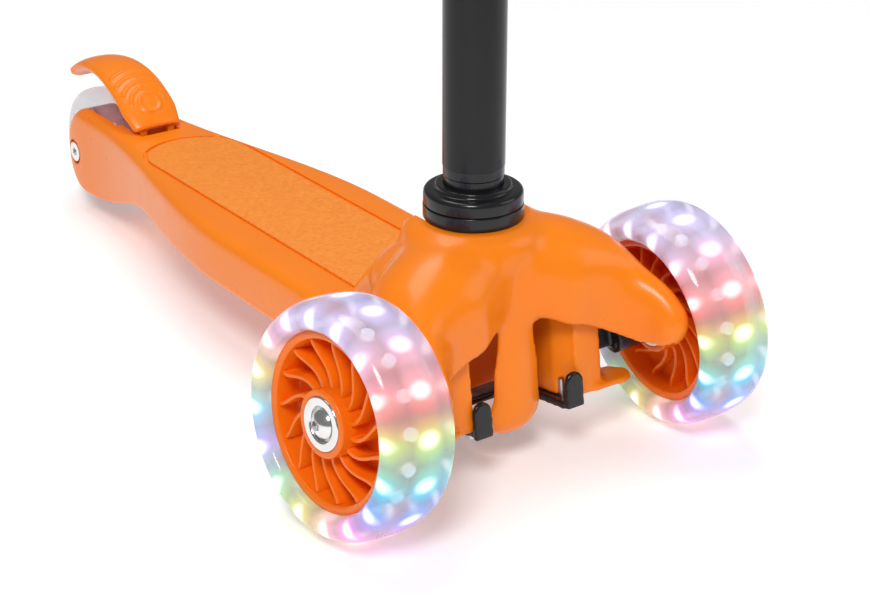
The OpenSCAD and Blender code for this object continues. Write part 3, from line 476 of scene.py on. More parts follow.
def around(shape, count, name, finish):
    """Geometry Nodes: the piece repeated around local Z, realized, with its finish set."""
    tree = bpy.data.node_groups.new("repeat around " + name, "GeometryNodeTree")
    tree.interface.new_socket("Geometry", in_out="INPUT", socket_type="NodeSocketGeometry")
    for label, kind in (("Count", "NodeSocketInt"), ("Finish", "NodeSocketMaterial")):
        tree.interface.new_socket(label, in_out="INPUT", socket_type=kind)
    tree.interface.new_socket("Geometry", in_out="OUTPUT", socket_type="NodeSocketGeometry")
    make, link = tree.nodes.new, tree.links.new
    given, result = make("NodeGroupInput"), make("NodeGroupOutput")
    points, index = make("GeometryNodePoints"), make("GeometryNodeInputIndex")
    turn = make("ShaderNodeMath")
    share, spin = make("ShaderNodeMath"), make("ShaderNodeCombineXYZ")
    place, real = make("GeometryNodeInstanceOnPoints"), make("GeometryNodeRealizeInstances")
    painted = make("GeometryNodeSetMaterial")
    turn.operation, share.operation = "MULTIPLY", "DIVIDE"
    share.inputs[0].default_value = 2 * math.pi
    link(given.outputs["Count"], points.inputs["Count"])
    link(given.outputs["Count"], share.inputs[1])
    link(index.outputs[0], turn.inputs[0])
    link(share.outputs[0], turn.inputs[1])
    link(turn.outputs[0], spin.inputs["Z"])
    link(points.outputs[0], place.inputs["Points"])
    link(given.outputs["Geometry"], place.inputs["Instance"])
    link(spin.outputs[0], place.inputs["Rotation"])
    link(place.outputs[0], real.inputs[0])
    link(real.outputs[0], painted.inputs["Geometry"])
    link(given.outputs["Finish"], painted.inputs["Material"])
    link(painted.outputs[0], result.inputs[0])
    layer = shape.modifiers.new(name, "NODES")
    layer.node_group = tree
    for item in tree.interface.items_tree:
        if item.in_out == "INPUT" and item.name in ("Count", "Finish"):
            layer[item.identifier] = count if item.name == "Count" else finish
    return bake(shape)


def joined(*shapes):
    mesh = bmesh.new()
    for shape in shapes:
        mesh.from_mesh(shape.data)
    mesh.to_mesh(shapes[0].data)
    mesh.free()
    for spare in shapes[1:]:
        bpy.data.objects.remove(spare)
    return shapes[0]


def placed(shape, place):
    shape.data.transform(place)
    return shape


def rod(name, radius, low, high, place=Matrix(), count=48):
    """A plain solid cylinder along local Z, mostly used as a cutting tool."""
    turns = [2 * math.pi * k / count for k in range(count)]
    return lofted(name, [[place @ Vector((radius * math.cos(a), radius * math.sin(a), z)) for a in turns]
                         for z in (low, high)])


def along_x(x, y, z):
    """Local +Z runs along the scooter's X."""
    return Matrix.Translation((x, y, z)) @ Matrix.Rotation(math.pi / 2, 4, "Y")


def mm(*numbers):
    return tuple(n * MM for n in numbers)


def mirrored(shape):
    shape.data.transform(Matrix.Scale(-1, 4, (1, 0, 0)))
    shape.data.flip_normals()
    return shape


def smooth(t):
    t = min(1.0, max(0.0, t))
    return t * t * (3 - 2 * t)

# %% [markdown]
# ## Front wheels
# The rim is one turned outline: a band with a rolled lip, a thin web and a boss with a recess
# for the chrome ring. Its curved vanes are one shape repeated around the axle by Geometry
# Nodes and then joined on. The tyre is a turned squarish oval.

# %% Rims, tyres and hub rings
def oval(middle, half_height, half_width, seat, seat_half, power=0.8, steps=40):
    """A tyre's outline as (radius, height), flat where it sits on the rim."""
    points = [(seat, -seat_half)]
    for i in range(steps + 1):
        a = math.radians(-150 + 300 * i / steps)
        c, s = math.cos(a), math.sin(a)
        r = middle + half_height * math.copysign(abs(c) ** power, c)
        if r > seat + 0.2 * MM:
            points.append((r, half_width * math.copysign(abs(s) ** power, s)))
    return points + [(seat, seat_half)]


def vane(inner, outer, sweep, low, high, thick):
    """One S-shaped vane with softened edges, standing along local Z."""
    def outline(inset):
        half, left, right = thick / 2 - inset, [], []
        for i in range(13):
            t = i / 12
            r, a = inner + t * (outer - inner), sweep * smooth(t)
            c, s = math.cos(a), math.sin(a)
            left.append((r * c + half * s, r * s - half * c))
            right.append((r * c - half * s, r * s + half * c))
        return left + right[::-1]
    edge = 0.5 * MM
    heights = [(low, edge), (low + edge, 0.0), (high - edge, 0.0), (high - 0.3 * edge, 0.4 * edge),
               (high, 1.1 * edge)]
    return lofted("vane", [[(x, y, z) for x, y in outline(inset)] for z, inset in heights])


def both_faces(upper):
    """Completes an outline by mirroring its upper half."""
    return rounded(upper + [(r, -z, soft_r) for r, z, soft_r in reversed(upper)], 4)


FRONT_VANES, REAR_VANES = 15, 10
front_profile = both_faces([
    mm(8.5, 8.9, 0.2), mm(11, 8.9, 0.2), mm(11, 15.9, 0.2), mm(13.7, 15.9, 0.2), mm(13.7, 17.5, 0.5),
    mm(17, 17.5, 1.4), mm(17.6, 1.6, 2.0), mm(39.6, 1.4, 2.5), mm(40.8, 14.2, 0.8),
    mm(43.2, 15.1, 1.0), mm(45, 14.4, 0.5)])
chrome_profile = rounded([
    mm(8.6, 15.9, 0.1), mm(13.6, 15.9, 0.1), mm(13.6, 17.9, 1.0), mm(9.4, 17.9, 0.8),
    mm(8.6, 16.8, 0.3)], 5)
TREAD = dict(front=(51, 9, 20.5, 45, 14.8), rear=(32, 8, 12, 27, 8.7))

for side in ("left", "right"):
    place, body = places[side], side + "_wheel"
    rim = turned("rim", front_profile, count=160)
    blade = vane(*mm(16.2, 40.3), math.radians(26), *mm(-8.5, 12.5, 2.4))
    carve(rim, around(blade, FRONT_VANES, "vanes " + side, rim_orange), operation="UNION")
    done(placed(rim, place), "wheel_rim_" + side, body, rim_orange, "rim_plastic", "front_rim_" + side)
    tyre = turned("tyre", oval(*mm(*TREAD["front"])), place, 160)
    done(tyre, "wheel_tyre_" + side, body, tyre_finish[side], "clear_tyre", "front_tyre_" + side)
    rings = [turned("ring", [(r, z * sign) for r, z in chrome_profile], place, 96) for sign in (1, -1)]
    done(joined(*rings), "hub_rings_" + side, body, bright, "bright_steel", "front_trims_" + side)

# %% [markdown]
# The rear wheel is the same kind of rim, smaller and with fewer vanes, in a clear tyre that holds no lights
# but is given a faint painted glow.

# %% Rear wheel
rear_profile = both_faces([
    mm(8.5, 5, 0.2), mm(11, 5, 0.2), mm(11, 12, 0.3), mm(14, 12, 1.0), mm(14.4, 1.4, 1.2), mm(23.6, 1.2, 1.2),
    mm(24, 8.8, 0.6), mm(26.9, 9.1, 0.6)])
rim = turned("rim", rear_profile, count=128)
blade = vane(*mm(13, 24.3), math.radians(24), *mm(-7.9, 7.9, 1.8))
carve(rim, around(blade, REAR_VANES, "vanes rear", rear_orange), operation="UNION")
done(placed(rim, places["rear"]), "wheel_rim_rear", "rear_wheel", rear_orange, "rear_rim_plastic", "rear_rim")
tyre = turned("tyre", oval(*mm(*TREAD["rear"])), places["rear"], 144)
done(tyre, "wheel_tyre_rear", "rear_wheel", tyre_finish["rear"], "clear_tyre", "rear_tyre")

# %% [markdown]
# ## The front cover
# The cover is swept from stations, each a place and two half sizes, in millimetres from the
# front axle: two arms that hook forwards over the wheels, a prong down the middle and a tail
# onto the deck. A voxel remesh melts them into one skin, a second set hollows it, and what
# passes through it, such as the kingpins and the socket, is cut away.

# %% Sweeping a limb
NECK, AXLE = 103, 60.15
ARM = [(0, 41, NECK + 4, 28, 17, 1), (30, 25, NECK - 2, 29, 22, 1), (47, 16, NECK - 12, 29, 25, 1),
       (62, 0, AXLE + 20, 15, 23, 0.8), (71, -19, AXLE + 15, 9, 17.5, 0.2), (74, -30, AXLE + 10, 8, 13, 0)]
PRONG = [(0, 41, 127, 24, 26.8), (0, 38, NECK + 8, 29, 34), (0, 29, NECK - 13, 24, 31), (0, 20, 66, 18, 22.5),
         (0, 14, 32, 16, 19.5)]
TAIL = [(0, 41, NECK - 3, 40, 22), (0, 63, NECK - 11, 47, 19), (0, 82, 78, 48, 11), (0, 89, 72, 46, 6)]
DOME = [(25.8, 4), (25.9, 0), (31, -1.2), (34.5, -3.5), (37, -8), (37.5, -14), (35, -24), (29, -34)]
UPWARDS, ACROSS = Vector((0, 0, 1)), Vector((1, 0, 0))
front_axle_y = places["left"].to_translation().y
at_front = Matrix.Translation((0, front_axle_y, 0)) @ Matrix.Scale(MM, 4)
COLLAR_Z, SETBACK = 127, 41
SHOULDER, SHOULDER_BACK, SHOULDER_Z = (54, 37, 20), 46, 97
STILL, CLEAR_UNDER = (0, 0, 0), (0, 0, -60)


def curved(stations, i, t):
    """A smooth curve through the stations."""
    a, b, c, d = (Vector(stations[k]) for k in (max(i - 1, 0), i, i + 1, min(i + 2, len(stations) - 1)))
    second, third = 2 * a - 5 * b + 4 * c - d, 3 * b - a - 3 * c + d
    return 0.5 * (2 * b + (c - a) * t + second * t * t + third * t ** 3)


def limb(stations, ref, grow=0.0, drop=STILL, fading=False, per=8, sides=40):
    """A limb with a rounded free end. Its underside is drawn out by drop."""
    line = [curved(stations, i, j / per) for i in range(len(stations) - 1) for j in range(per)]
    line.append(Vector(stations[-1]))
    spots, drop = [Vector(p[:3]) for p in line], Vector(drop)
    last = len(spots) - 1
    headings = [(spots[min(i + 1, last)] - spots[max(i - 1, 0)]).normalized() for i in range(last + 1)]
    slices = [(spot, heading, stop[3] + grow, stop[4] + grow, drop * (stop[5] if fading else 1))
              for spot, heading, stop in zip(spots, headings, line)]
    spot, heading, wide, tall, fall = slices[-1]
    for a in (0.4, 0.8, 1.15, 1.4):
        tip = spot + heading * min(wide, tall) * math.sin(a)
        slices.append((tip, heading, wide * math.cos(a), tall * math.cos(a), fall))
    rings = []
    for spot, heading, wide, tall, fall in slices:
        n = (ref - heading * ref.dot(heading)).normalized()
        m = heading.cross(n)
        ring = []
        for k in range(sides):
            a = 2 * math.pi * k / sides
            out = m * (wide * math.cos(a)) + n * (tall * math.sin(a))
            ring.append(at_front @ (spot + out + (fall if out.dot(drop) > 0 else Vector())))
        rings.append(ring)
    return lofted("limb", rings)


def neck_dome(inset):
    """The collar's seat: a short dome about the stem's line, made smaller by inset."""
    rings = []
    for r, z in DOME:
        r, z = r - inset, COLLAR_Z - inset + z
        turns = (2 * math.pi * k / 64 for k in range(64))
        rings.append([at_front @ Vector((r * math.cos(a), SETBACK + r * math.sin(a), z)) for a in turns])
    return lofted("dome", rings)


def shoulders(grow):
    """A wide low dome that fills the corners between neck, arms and tail."""
    wide, long, tall = (half + grow for half in SHOULDER)
    rings = []
    for b in (math.pi * (k + 0.5) / 24 for k in range(24)):
        reach, z = math.sin(b), SHOULDER_Z - tall * math.cos(b)
        turns = (2 * math.pi * k / 48 for k in range(48))
        rings.append([at_front @ Vector((
            wide * reach * math.cos(a), SHOULDER_BACK + long * reach * math.sin(a), z)) for a in turns])
    return lofted("shoulders", rings)


def under_arm(sign, lower, start):
    """Cuts an arm's skirt along a straight line that falls from the prong to the tip."""
    edge = [(start - 8, 71 - lower), (start, 79 - lower - (start - 23) * 0.455), (100, 44 - lower),
            (100, -60), (start - 8, -60)]
    sides = [[at_front @ Vector((sign * x, y, z)) for x, z in edge] for y in (-80, 52)]
    return lofted("under the arm", sides)


def skirted_arm(sign):
    """An arm with a skirt, trimmed a little low, so that the last cut leaves an even edge."""
    shape = carve(limb(ARM, UPWARDS, 1.5, (0, 0, -24), True), under_arm(1, 3, 0))
    return shape if sign > 0 else mirrored(shape)


def limbs(grow, inset, arm_drop, prong_drop, tail_drop, arms=None):
    """All the limbs in one mesh, grown by grow."""
    arms = arms or [limb(ARM, UPWARDS, grow, arm_drop), mirrored(limb(ARM, UPWARDS, grow, arm_drop))]
    return joined(*arms, shoulders(grow), limb(PRONG, ACROSS, grow, prong_drop),
                  limb(TAIL, UPWARDS, grow, tail_drop), neck_dome(inset))


def kingpin_place(side):
    """Local +Z along the kingpin, at axle height, with local +X across the scooter."""
    joint = joints[side + "_steer"]
    up = Vector(joint["axis"])
    return Matrix.Translation(joint["pos_m"]) @ Matrix((ACROSS, up.cross(ACROSS), up)).transposed().to_4x4()


# %% [markdown]
# The outer skin and the hollow come from the same limbs, one set grown and the other shrunk.
# The rooms cut afterwards are a little wider than what turns in them, at every steering angle.

# %% The cover itself
SKIN, INSIDE, STEER_LIMIT = 1.5, -2.4, 6
EAR_ROOM, AXLE_ROOM, SOCKET_ROOM = 13.4, 10.7, 22.2
cover = soften(limbs(SKIN, -0.6, STILL, STILL, STILL, [skirted_arm(1), skirted_arm(-1)]), 1.8 * MM, 38)
hollow = soften(limbs(INSIDE, 3, CLEAR_UNDER, (0, 50, 0), (0, 0, -40)), 2.0 * MM, 10)
tools = [hollow]
tools += [under_arm(sign, 0, 34) for sign in (1, -1)]
for side, sign in (("left", 1), ("right", -1)):
    kingpin, steer = kingpin_place(side), joints[side + "_steer"]
    tools.append(rod("ear room", EAR_ROOM * MM, -29.4 * MM, 27.8 * MM, kingpin))
    near, far = sorted((-17.4 * sign, -7.4 * sign))
    tools.append(placed(block("block room", mm(near, 0, 0), mm(far, 16.4, 24.8)), kingpin))
    pivot, leaning = Matrix.Translation(steer["pos_m"]), Vector(steer["axis"])
    for degrees in (-STEER_LIMIT, 0, STEER_LIMIT):
        swing = pivot @ Matrix.Rotation(math.radians(degrees), 4, leaning) @ pivot.inverted()
        tools.append(rod("axle room", AXLE_ROOM * MM, -59 * MM, -20 * MM, swing @ places[side]))
tools.append(placed(block("deck room", (-80, 62, -20), (80, 202, 72.2)), at_front))
tools.append(rod("socket room", SOCKET_ROOM, 60, 180, at_front @ Matrix.Translation((0, SETBACK, 0)), 64))
tools.append(placed(block("level top", (-70, -40, COLLAR_Z), (70, 130, COLLAR_Z + 40)), at_front))
carve(cover, *tools)
soften(cover, 1.35 * MM, 4)
done(cover, "cover_shell", "frame", orange, "orange_plastic", "front_cover", degrees=60)

# %% [markdown]
# ## The deck
# The deck is a row of rounded cross sections. They keep the full width at the front, narrow to
# the two cheeks that hold the rear wheel, and close with a round end. Then it is hollowed from
# below, leaving ribs, and slotted for the wheel and the pedal's hinge.

# %% Deck sizes and sections
rear_axle = places["rear"].to_translation()
DECK_TOP, DECK_LOW, CHEEK_LOW, END_R = 72 * MM, 40 * MM, 14 * MM, 24 * MM
DECK_FRONT, DECK_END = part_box("deck")[0][1], rear_axle.y + 12 * MM
HALF_FRONT, HALF_FORK, SLOT_HALF = 57 * MM, 25 * MM, 14 * MM
TAPER, DIP = rear_axle.y - 250 * MM, rear_axle.y - 130 * MM
PANEL_HALF, PANEL_FRONT, PANEL_BACK = 34 * MM, front_axle_y + 96 * MM, rear_axle.y - 96 * MM


def deck_half(y):
    share = (y - TAPER) / (rear_axle.y - 20 * MM - TAPER)
    return HALF_FORK + (HALF_FRONT - HALF_FORK) * (1 - smooth(share))


def deck_section(y, inset=0.0):
    """A rounded section across the deck, with its corners softer at the top."""
    top, low = DECK_TOP, DECK_LOW - (DECK_LOW - CHEEK_LOW) * smooth((y - DIP) / (112 * MM))
    past = y - (DECK_END - END_R)
    if past > 0:
        rise = math.sqrt(max(END_R ** 2 - past ** 2, 0.0))
        top, low = top - END_R + rise, low + END_R - rise
    half = deck_half(y) - inset
    corners = [(-half, low + inset, 4 * MM), (half, low + inset, 4 * MM),
               (half, top - inset, 9 * MM), (-half, top - inset, 9 * MM)]
    return [(x, y, z) for x, z in rounded(corners, 7)]


def panel_outline(inset):
    half, front, back = PANEL_HALF - inset, PANEL_FRONT + inset, PANEL_BACK - inset
    bend = half * 0.9
    turns = (math.pi * i / 24 for i in range(25))
    arc = [(half * math.cos(a), back - bend + bend * math.sin(a)) for a in turns]
    return rounded([(-half, front, 4 * MM), (half, front, 4 * MM)] + [(x, y, 0.0) for x, y in arc], 5)


# %% [markdown]
# The skin is lofted first: a small rounded nose, the long middle and the round end. Each opening
# is then one cutting block, rod or prism, so that each can be seen and moved by itself.

# %% The deck itself
NOSE = 4 * MM
sections = [deck_section(DECK_FRONT + NOSE * (1 - math.cos(a)), NOSE * (1 - math.sin(a)))
            for a in (0.0, 0.4, 0.8, 1.2)]
length = DECK_END - END_R - DECK_FRONT - NOSE
sections += [deck_section(DECK_FRONT + NOSE + length * i / 40) for i in range(41)]
sections += [deck_section(DECK_END - END_R + END_R * math.sin(a), 3 * MM * (1 - math.cos(a)))
             for a in (0.2, 0.4, 0.6, 0.8, 1.0, 1.15, 1.3, 1.42)]
deck = lofted("deck", sections)

WALL, RIB_LOW = 3.5 * MM, DECK_LOW + 8 * MM
hollow_end = rear_axle.y - 92 * MM
ys = [DECK_FRONT + WALL + (hollow_end - DECK_FRONT - WALL) * i / 30 for i in range(31)]
plan = [(deck_half(y) - WALL, y) for y in ys] + [(WALL - deck_half(y), y) for y in reversed(ys)]
hollow = prism("hollow", plan, -1 * MM, DECK_TOP - WALL)
ribs = [block("rib", (-HALF_FRONT, y, RIB_LOW), (HALF_FRONT, y + 2.5 * MM, 0.09))
        for y in (DECK_FRONT + 8 * MM + i * 38 * MM for i in range(1, 7))]
ribs.append(block("rib", (-1.25 * MM, DECK_FRONT + 46 * MM, RIB_LOW),
                  (1.25 * MM, DECK_FRONT + 315 * MM, 0.09)))
carve(hollow, *ribs)

fork_front = rear_axle.y - 52 * MM
slot_side = [(-SLOT_HALF, -1 * MM), (SLOT_HALF, -1 * MM), (SLOT_HALF, 69 * MM), (SLOT_HALF + 4 * MM, 73 * MM),
             (-SLOT_HALF - 4 * MM, 73 * MM), (-SLOT_HALF, 69 * MM)]
slot = lofted("slot", [[(x, y, z) for x, z in slot_side] for y in (fork_front, rear_axle.y + 60 * MM)])
hinge = joints["brake_press"]["pos_m"]
hinge_room = block("hinge room", (-SLOT_HALF, hinge[1] - 11 * MM, 48 * MM),
                   (SLOT_HALF, hinge[1] + 30 * MM, 80 * MM))
axle_line = along_x(0, rear_axle.y, rear_axle.z)
tools = [hollow, slot, hinge_room, rod("bore", 4 * MM, -0.06, 0.06, axle_line)]
tools += [rod("seat", 8.6 * MM, low, low + 0.04, axle_line, 64) for low in (-0.0615, 0.0215)]
pin_half = deck_half(hinge[1]) - 4 * MM
tools.append(rod("pin bore", 3 * MM, -pin_half, 0.06, along_x(0, hinge[1], hinge[2])))
for x in (-26 * MM, 26 * MM):
    for y in (DECK_FRONT + 10 * MM, DECK_FRONT + 24 * MM):
        tools.append(rod("screw hole", 2.2 * MM, 64 * MM, 80 * MM, Matrix.Translation((x, y, 0))))
        tools.append(rod("screw seat", 4.4 * MM, 70.4 * MM, 80 * MM, Matrix.Translation((x, y, 0))))
MOUTH_HALF = 32.9 * MM
tools.append(block("mouth", (-MOUTH_HALF, DECK_FRONT - 1 * MM, 48.1 * MM),
                   (MOUTH_HALF, DECK_FRONT + 4.5 * MM, 68.5 * MM)))
tools.append(prism("panel seat", panel_outline(0.0), DECK_TOP - 1.2 * MM, DECK_TOP + 4 * MM))
for x in (-25, 25):
    tools.append(lofted("dimple", [[mm(x + r * math.cos(a), 131 + r * math.sin(a), z)
                                    for a in (2 * math.pi * k / 32 for k in range(32))]
                                   for r, z in ((1.0, 70.6), (2.4, 70.9), (3.2, 71.6), (3.8, 72.6))]))
carve(deck, *tools)
done(deck, "deck_shell", "frame", orange, "orange_plastic", "deck", degrees=32)

# %% [markdown]
# The panel is a separate sheet laid in a shallow seat. Its edge rises above the deck in a soft
# curve, given as a few heights with how far the outline has drawn in at each.

# %% The pebbled panel
EDGE = [(-1.2, 2.6), (-0.2, 2.4), (0.25, 2.6), (0.5, 3.2), (0.58, 4.2)]
panel = lofted("panel", [[(x, y, DECK_TOP + rise * MM) for x, y in panel_outline(inset * MM)]
                         for rise, inset in EDGE])
done(panel, "grip_panel", "frame", grip_skin, "orange_plastic", degrees=50)

# %% [markdown]
# ## The foot brake
# The pedal follows one arc over the rear wheel. Its cross section is a soft bar with a low
# crown. Raised rings sit on its front face, and they are swept over the same curved surface,
# so they lie on it everywhere. Two ears reach down to the hinge.

# %% Pedal, rings and ears
ARC_Y, ARC_Z, ARC_R, PEDAL_T = rear_axle.y - 19 * MM, 28 * MM, 76 * MM, 5 * MM
FOOT, TIP, PEDAL_W, CROWN, RISE = 141.0, 50.0, 38 * MM, 3.6 * MM, 1.6 * MM


def over(x, degrees, out, on_back=True):
    """A place on the pedal: across, along its arc, and out from its back."""
    share = (2 * x / PEDAL_W) ** 2
    a, r = math.radians(degrees), ARC_R + out + (RISE - CROWN * share if on_back else -2.2 * MM * share)
    return (x, ARC_Y + r * math.cos(a), ARC_Z + r * math.sin(a))


def pedal_half(degrees):
    """Half the pedal's width: rounded at the foot, slimmer and round at the tip."""
    y = (ARC_Y + ARC_R * math.cos(math.radians(degrees)) - rear_axle.y) / MM
    if y < -68:
        return (16 + 0.25 * (y + 80)) * MM
    if y < -40:
        return (19 - (y + 68) / 28) * MM
    if y < 19:
        return (18 - 4 * (y + 40) / 59) * MM
    return 14 * math.sqrt(max(0.03, 1 - ((y - 19) / 12) ** 2)) * MM


def pedal_section(degrees, thin=0.0):
    """A bar with a high crown on its back, nearly flat beneath."""
    half, ring = pedal_half(degrees) - thin, []
    for k in range(48):
        c, s = math.cos(2 * math.pi * k / 48), math.sin(2 * math.pi * k / 48)
        x = half * math.copysign(abs(c) ** 0.6, c)
        thick = (PEDAL_T / 2 - thin) * abs(s) ** 0.6
        ring.append(over(x, degrees, thick - PEDAL_T / 2 if s > 0 else -thick - PEDAL_T / 2, s > 0))
    return ring


def bead(radius, width, start, end, low=1.2 * MM):
    """A raised ring, or part of one, on the pedal's front face."""
    middle, slices, closed = 128.0, [], end - start >= 360
    steps = max(12, int((end - start) / 6))
    for i in range(steps + (0 if closed else 1)):
        a, section = math.radians(start + (end - start) * i / steps), []
        for k in range(10):
            b = 2 * math.pi * k / 10
            r = radius + width * math.cos(b)
            down = middle - math.degrees(r * math.sin(a) / ARC_R)
            section.append(over(r * math.cos(a), down, low * (math.sin(b) - 0.1)))
        slices.append(section)
    if not closed:
        return lofted("bead", slices)
    n, faces = len(slices), []
    for i in range(n):
        j = (i + 1) % n
        faces += [(i * 10 + k, i * 10 + (k + 1) % 10, j * 10 + (k + 1) % 10, j * 10 + k) for k in range(10)]
    return as_mesh("bead", [p for section in slices for p in section], faces)


stations = [(FOOT, 1.2 * MM), (FOOT - 0.6, 0.4 * MM)]
stations += [(FOOT - 1.5 - i * (FOOT - TIP - 1.5) / 60, 0.0) for i in range(61)]
pedal = lofted("pedal", [pedal_section(degrees, thin) for degrees, thin in stations])
BEAD_R, EAR_R, EAR_T = 1 * MM, 6.5 * MM, 5 * MM
beads = [bead(7.0 * MM, BEAD_R, 0, 360)]
beads += [bead(radius * MM, BEAD_R, 90 - reach, 90 + reach)
          for radius, reach in ((12, 84), (17.5, 58), (24, 40), (31, 29))]
hinge_half, ears = SLOT_HALF - 1.5 * MM, []
for low in (-hinge_half, hinge_half - EAR_T):
    ears.append(rod("ear", EAR_R, low, low + EAR_T, along_x(0, hinge[1], hinge[2])))
    upright = block("ear", (low, hinge[1] - EAR_R, hinge[2]),
                    (low + EAR_T, hinge[1] + EAR_R, hinge[2] + 40 * MM))
    under = rod("under", ARC_R - 1 * MM, -0.05, 0.05, along_x(0, ARC_Y, ARC_Z), 128)
    ears.append(carve(upright, under, operation="INTERSECT"))
pedal = soften(joined(pedal, *beads, *ears), 0.75 * MM, 3)
below = DECK_TOP + 0.3 * MM
tools = [rod("pin bore", 3.05 * MM, -0.03, 0.03, along_x(0, hinge[1], hinge[2]))]
tools += [block("foot room", (low, hinge[1] - 40 * MM, 0), (high, hinge[1] + 10 * MM, below))
          for low, high in ((-0.07, -hinge_half), (hinge_half, 0.07))]
tools.append(block("foot room", (-0.06, hinge[1] - 60 * MM, 0), (0.06, hinge[1] - 9 * MM, below)))
carve(pedal, *tools)
done(pedal, "brake_pedal", "foot_brake", orange, "orange_plastic", "foot_brake", degrees=50)

# %% [markdown]
# ## Mouldings that keep their working shape
# The housing, the knuckles, the clamp and the joint at the top are right as they stand, apart
# from their knife edges. Each is copied, remeshed and smoothed a little.

# %% Softened copies
SOFT = [
    ("steering_housing", "housing", "frame", orange, "housing_plastic", 1.1, 5),
    ("skid_plate", "skid_tray", "frame", black, "black_plastic", 0.8, 5),
    ("knuckle_left", "knuckle_arm_left", "left_knuckle", black, "black_plastic", 0.9, 5),
    ("knuckle_right", "knuckle_arm_right", "right_knuckle", black, "black_plastic", 0.9, 5),
    ("tie_bar", "steering_link", "tie_bar", black, "black_plastic", 0.8, 4),
    ("clamp_body", "stem_clamp", "frame", black, "black_plastic", 0.9, 5),
    ("clamp_lever", "cam_lever", "clamp_lever", black, "black_plastic", 0.7, 4),
    ("tee_joint", "bar_joint", "handlebar", black, "black_plastic", 0.9, 6),
]
for node, name, body, finish, slot_name, voxel, rounds in SOFT:
    done(soften(copied(node), voxel * MM, rounds), name, body, finish, slot_name, node, degrees=50)

# %% [markdown]
# ## Collar, socket and tubes
# These are all turned about the stem's upright axis, each from one rounded outline.

# %% Stem pieces
stem = Matrix.Translation((0, front_axle_y + SETBACK * MM, 0))


def stem_piece(node, name, body, finish, slot_name, corners, place=stem, degrees=35):
    """A piece turned from (radius, height, softness) corners in millimetres."""
    shape = turned(name, rounded([mm(*corner) for corner in corners], 6), place, 128)
    return done(shape, name, body, finish, slot_name, node, degrees=degrees)


stem_piece("stem_socket", "socket_collar", "frame", black, "black_plastic", [
    (3, 88, 0.3), (21.4, 88, 0.8), (21.4, 127, 0.1), (25.8, 127, 0.7), (25.8, 134.4, 0.8), (21.4, 134.4, 0.1),
    (21.4, 140, 0.4), (15.2, 140, 0.3), (15.2, 98, 0.2), (3, 98, 0.2)])
stem_piece("collar_cap", "collar_cover", "frame", black, "black_plastic", [
    (21.5, 134.8, 0.2), (25.6, 134.8, 0.5), (25.6, 142.3, 6.5), (19.7, 142.4, 1.6), (19.2, 145, 0.8),
    (15.4, 145, 0.3), (15.4, 140.3, 0.2), (21.5, 140.3, 0.2)])
stem_piece("stem_insert", "stem_foot", "frame", black, "black_plastic", [
    (3, 98, 0.2), (15.2, 98, 0.4), (15.2, 149.4, 0.2), (15.7, 149.9, 0.2), (15.7, 155, 0.4), (14.4, 155, 0.1),
    (14.4, 181, 0.5), (11.3, 181, 0.3), (11.3, 126, 0.5), (3, 126, 0.3)])

# %% [markdown]
# ## Handlebar grips
# Each grip has a flange at its inner end and nine soft ribs. An orange plug closes the bar.

# %% Grips and plugs
bar_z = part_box("handlebar")[0][2] + 11 * MM
GRIP_START, GRIP_LEN, GRIP_R, RIBS, RIB_H = 26, 92, 15, 9, 0.9
BAR_HALF = GRIP_START + GRIP_LEN
for side, sign in (("left", 1), ("right", -1)):
    corners = [(11, 0, 0.3), (GRIP_R + 4, 0, 1.0), (GRIP_R + 4, 4, 1.4), (GRIP_R, 4.6, 1.2)]
    for start in (12 + i * 8 for i in range(RIBS)):
        corners += [(GRIP_R, start - 0.4, 0.5), (GRIP_R + RIB_H, start + 0.4, 0.9),
                    (GRIP_R + RIB_H, start + 3.1, 0.9), (GRIP_R, start + 3.9, 0.5)]
    corners += [(GRIP_R, GRIP_LEN, 1.0), (11, GRIP_LEN, 0.3)]
    corners = [(r, sign * (GRIP_START + z), soft_r) for r, z, soft_r in corners]
    across = stem @ along_x(0, 0, bar_z)
    stem_piece("grip_" + side, "hand_grip_" + side, "handlebar", rubber, "grip_rubber",
               corners, across, degrees=45)
    circles = [(-14, 8.8), (-13.4, 9.4), (0, 9.4), (0.02, 14.8), (0.3, 15.3), (0.8, 15.5), (3.2, 15.5),
               (4.2, 15.0), (4.8, 13.9), (5, 12.2)]
    plug = lofted("plug", [[across @ Vector(mm(r * math.cos(a), r * math.sin(a), sign * (BAR_HALF + z)))
                            for a in (2 * math.pi * k / 64 for k in range(64))] for z, r in circles])
    done(plug, "bar_plug_" + side, "handlebar", orange, "orange_plastic", "bar_end_" + side, degrees=40)

# %% [markdown]
# ## Working parts that stay in view
# Tubes, axles, bearings, screws and springs keep the shapes they work with. They only get
# better finishes.

# %% Finishes for the working parts
KEPT = {
    "deck_screws": steel, "skid_plate_screws": steel, "kingpins": steel, "tie_pin_left": steel,
    "tie_pin_right": steel, "centring_springs": steel, "socket_screws": steel, "stem_bolt": steel,
    "clamp_rod": steel, "clamp_nut": steel, "front_bearings_left": steel, "front_bearings_right": steel,
    "front_spacer_left": steel, "front_spacer_right": steel, "front_axle_left": bright,
    "front_axle_right": bright, "rear_bearings": steel, "rear_spacer": steel, "rear_axle_bolt": bright,
    "rear_axle_nut": bright, "brake_pin": steel, "brake_spring": steel, "bushes_left": nylon,
    "bushes_right": nylon, "glide_bush": black, "lower_tube": tube_paint, "upper_tube": tube_paint,
    "handlebar": tube_paint, "front_lights_left": light_finish, "front_lights_right": light_finish,
}
for node, finish in KEPT.items():
    for place in cad[node].material_slots:
        place.material = finish
shown = {piece.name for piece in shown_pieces()}
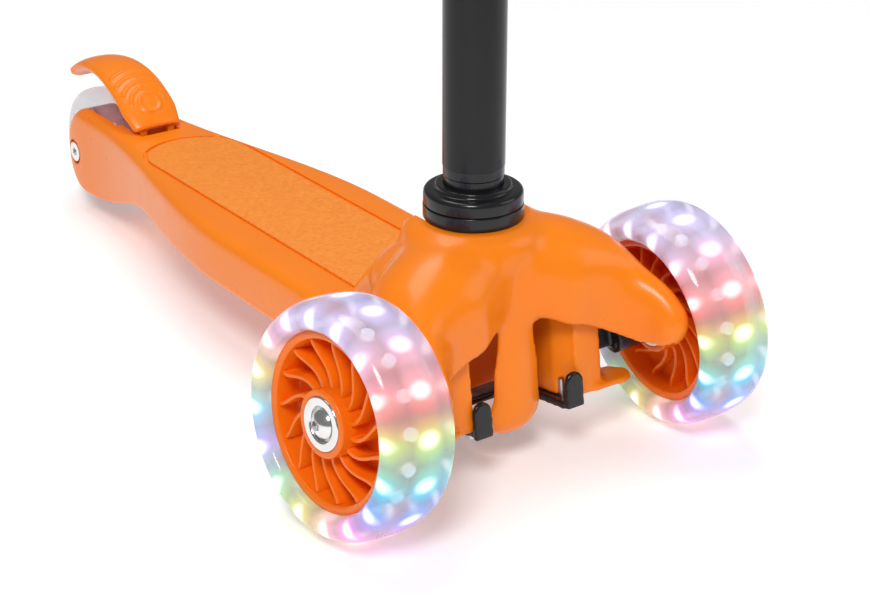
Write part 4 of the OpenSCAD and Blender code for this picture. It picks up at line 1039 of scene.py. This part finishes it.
print("pieces shown:", len(shown))
print("working parts without a finish:", sorted(n for n in cad if cad[n].name in shown and n not in KEPT))

# %% [markdown]
# ## Studio
# A pale floor that runs off in every direction, a bright surrounding and large soft lights,
# as for a catalogue picture. The camera looks down at the front right quarter.

# %% Floor, lights and camera
floor_finish = Finish("studio floor", Emission_Color=rgb(1, 1, 1), Emission_Strength=0.26)
floor_dark, floor_light = rgb(0.90, 0.90, 0.905), rgb(0.93, 0.93, 0.93)
floor_finish.feed("Base Color", floor_finish.mix(floor_finish.noise(3.0), floor_dark, floor_light))
floor_finish.feed("Roughness", floor_finish.noise(8.0) * 0.1 + 0.55)
floor = block("studio floor", (-20, -20, -0.02), (20, 20, -0.0005))
floor.data.materials.append(floor_finish.material)

world = bpy.data.worlds.new("studio")
world.use_nodes = True
world.node_tree.nodes["Background"].inputs["Color"].default_value = rgb(1.0, 1.0, 1.0)
world.node_tree.nodes["Background"].inputs["Strength"].default_value = 0.22
bpy.context.scene.world = world

LIGHTING = [
    ("key light", (-1.1, -1.3, 1.9), 0.8, 32.0),
    ("fill light", (1.5, -1.2, 1.2), 1.4, 7.0),
    ("top light", (0.2, 0.6, 2.3), 1.5, 24.0),
]
middle = (Vector(cad_box[0]) + Vector(cad_box[1])) / 2
for name, spot, size, power in LIGHTING:
    data = bpy.data.lights.new(name, "AREA")
    data.shape, data.size, data.energy = "DISK", size, power
    light = bpy.data.objects.new(name, data)
    light.location = spot
    light.rotation_euler = (middle - Vector(spot)).to_track_quat("-Z", "Y").to_euler()
    bpy.context.scene.collection.objects.link(light)

lens = bpy.data.cameras.new("catalogue camera")
lens.lens, lens.sensor_fit, lens.sensor_width = 82.76, "HORIZONTAL", 36.0
camera = bpy.data.objects.new("catalogue camera", lens)
camera.location = (-0.5619, -0.9348, 0.5097)
camera.rotation_euler = [math.radians(a) for a in (65.45, 0.0, -35.43)]
bpy.context.scene.collection.objects.link(camera)
bpy.context.scene.camera = camera
bpy.context.scene.view_settings.view_transform = "Standard"
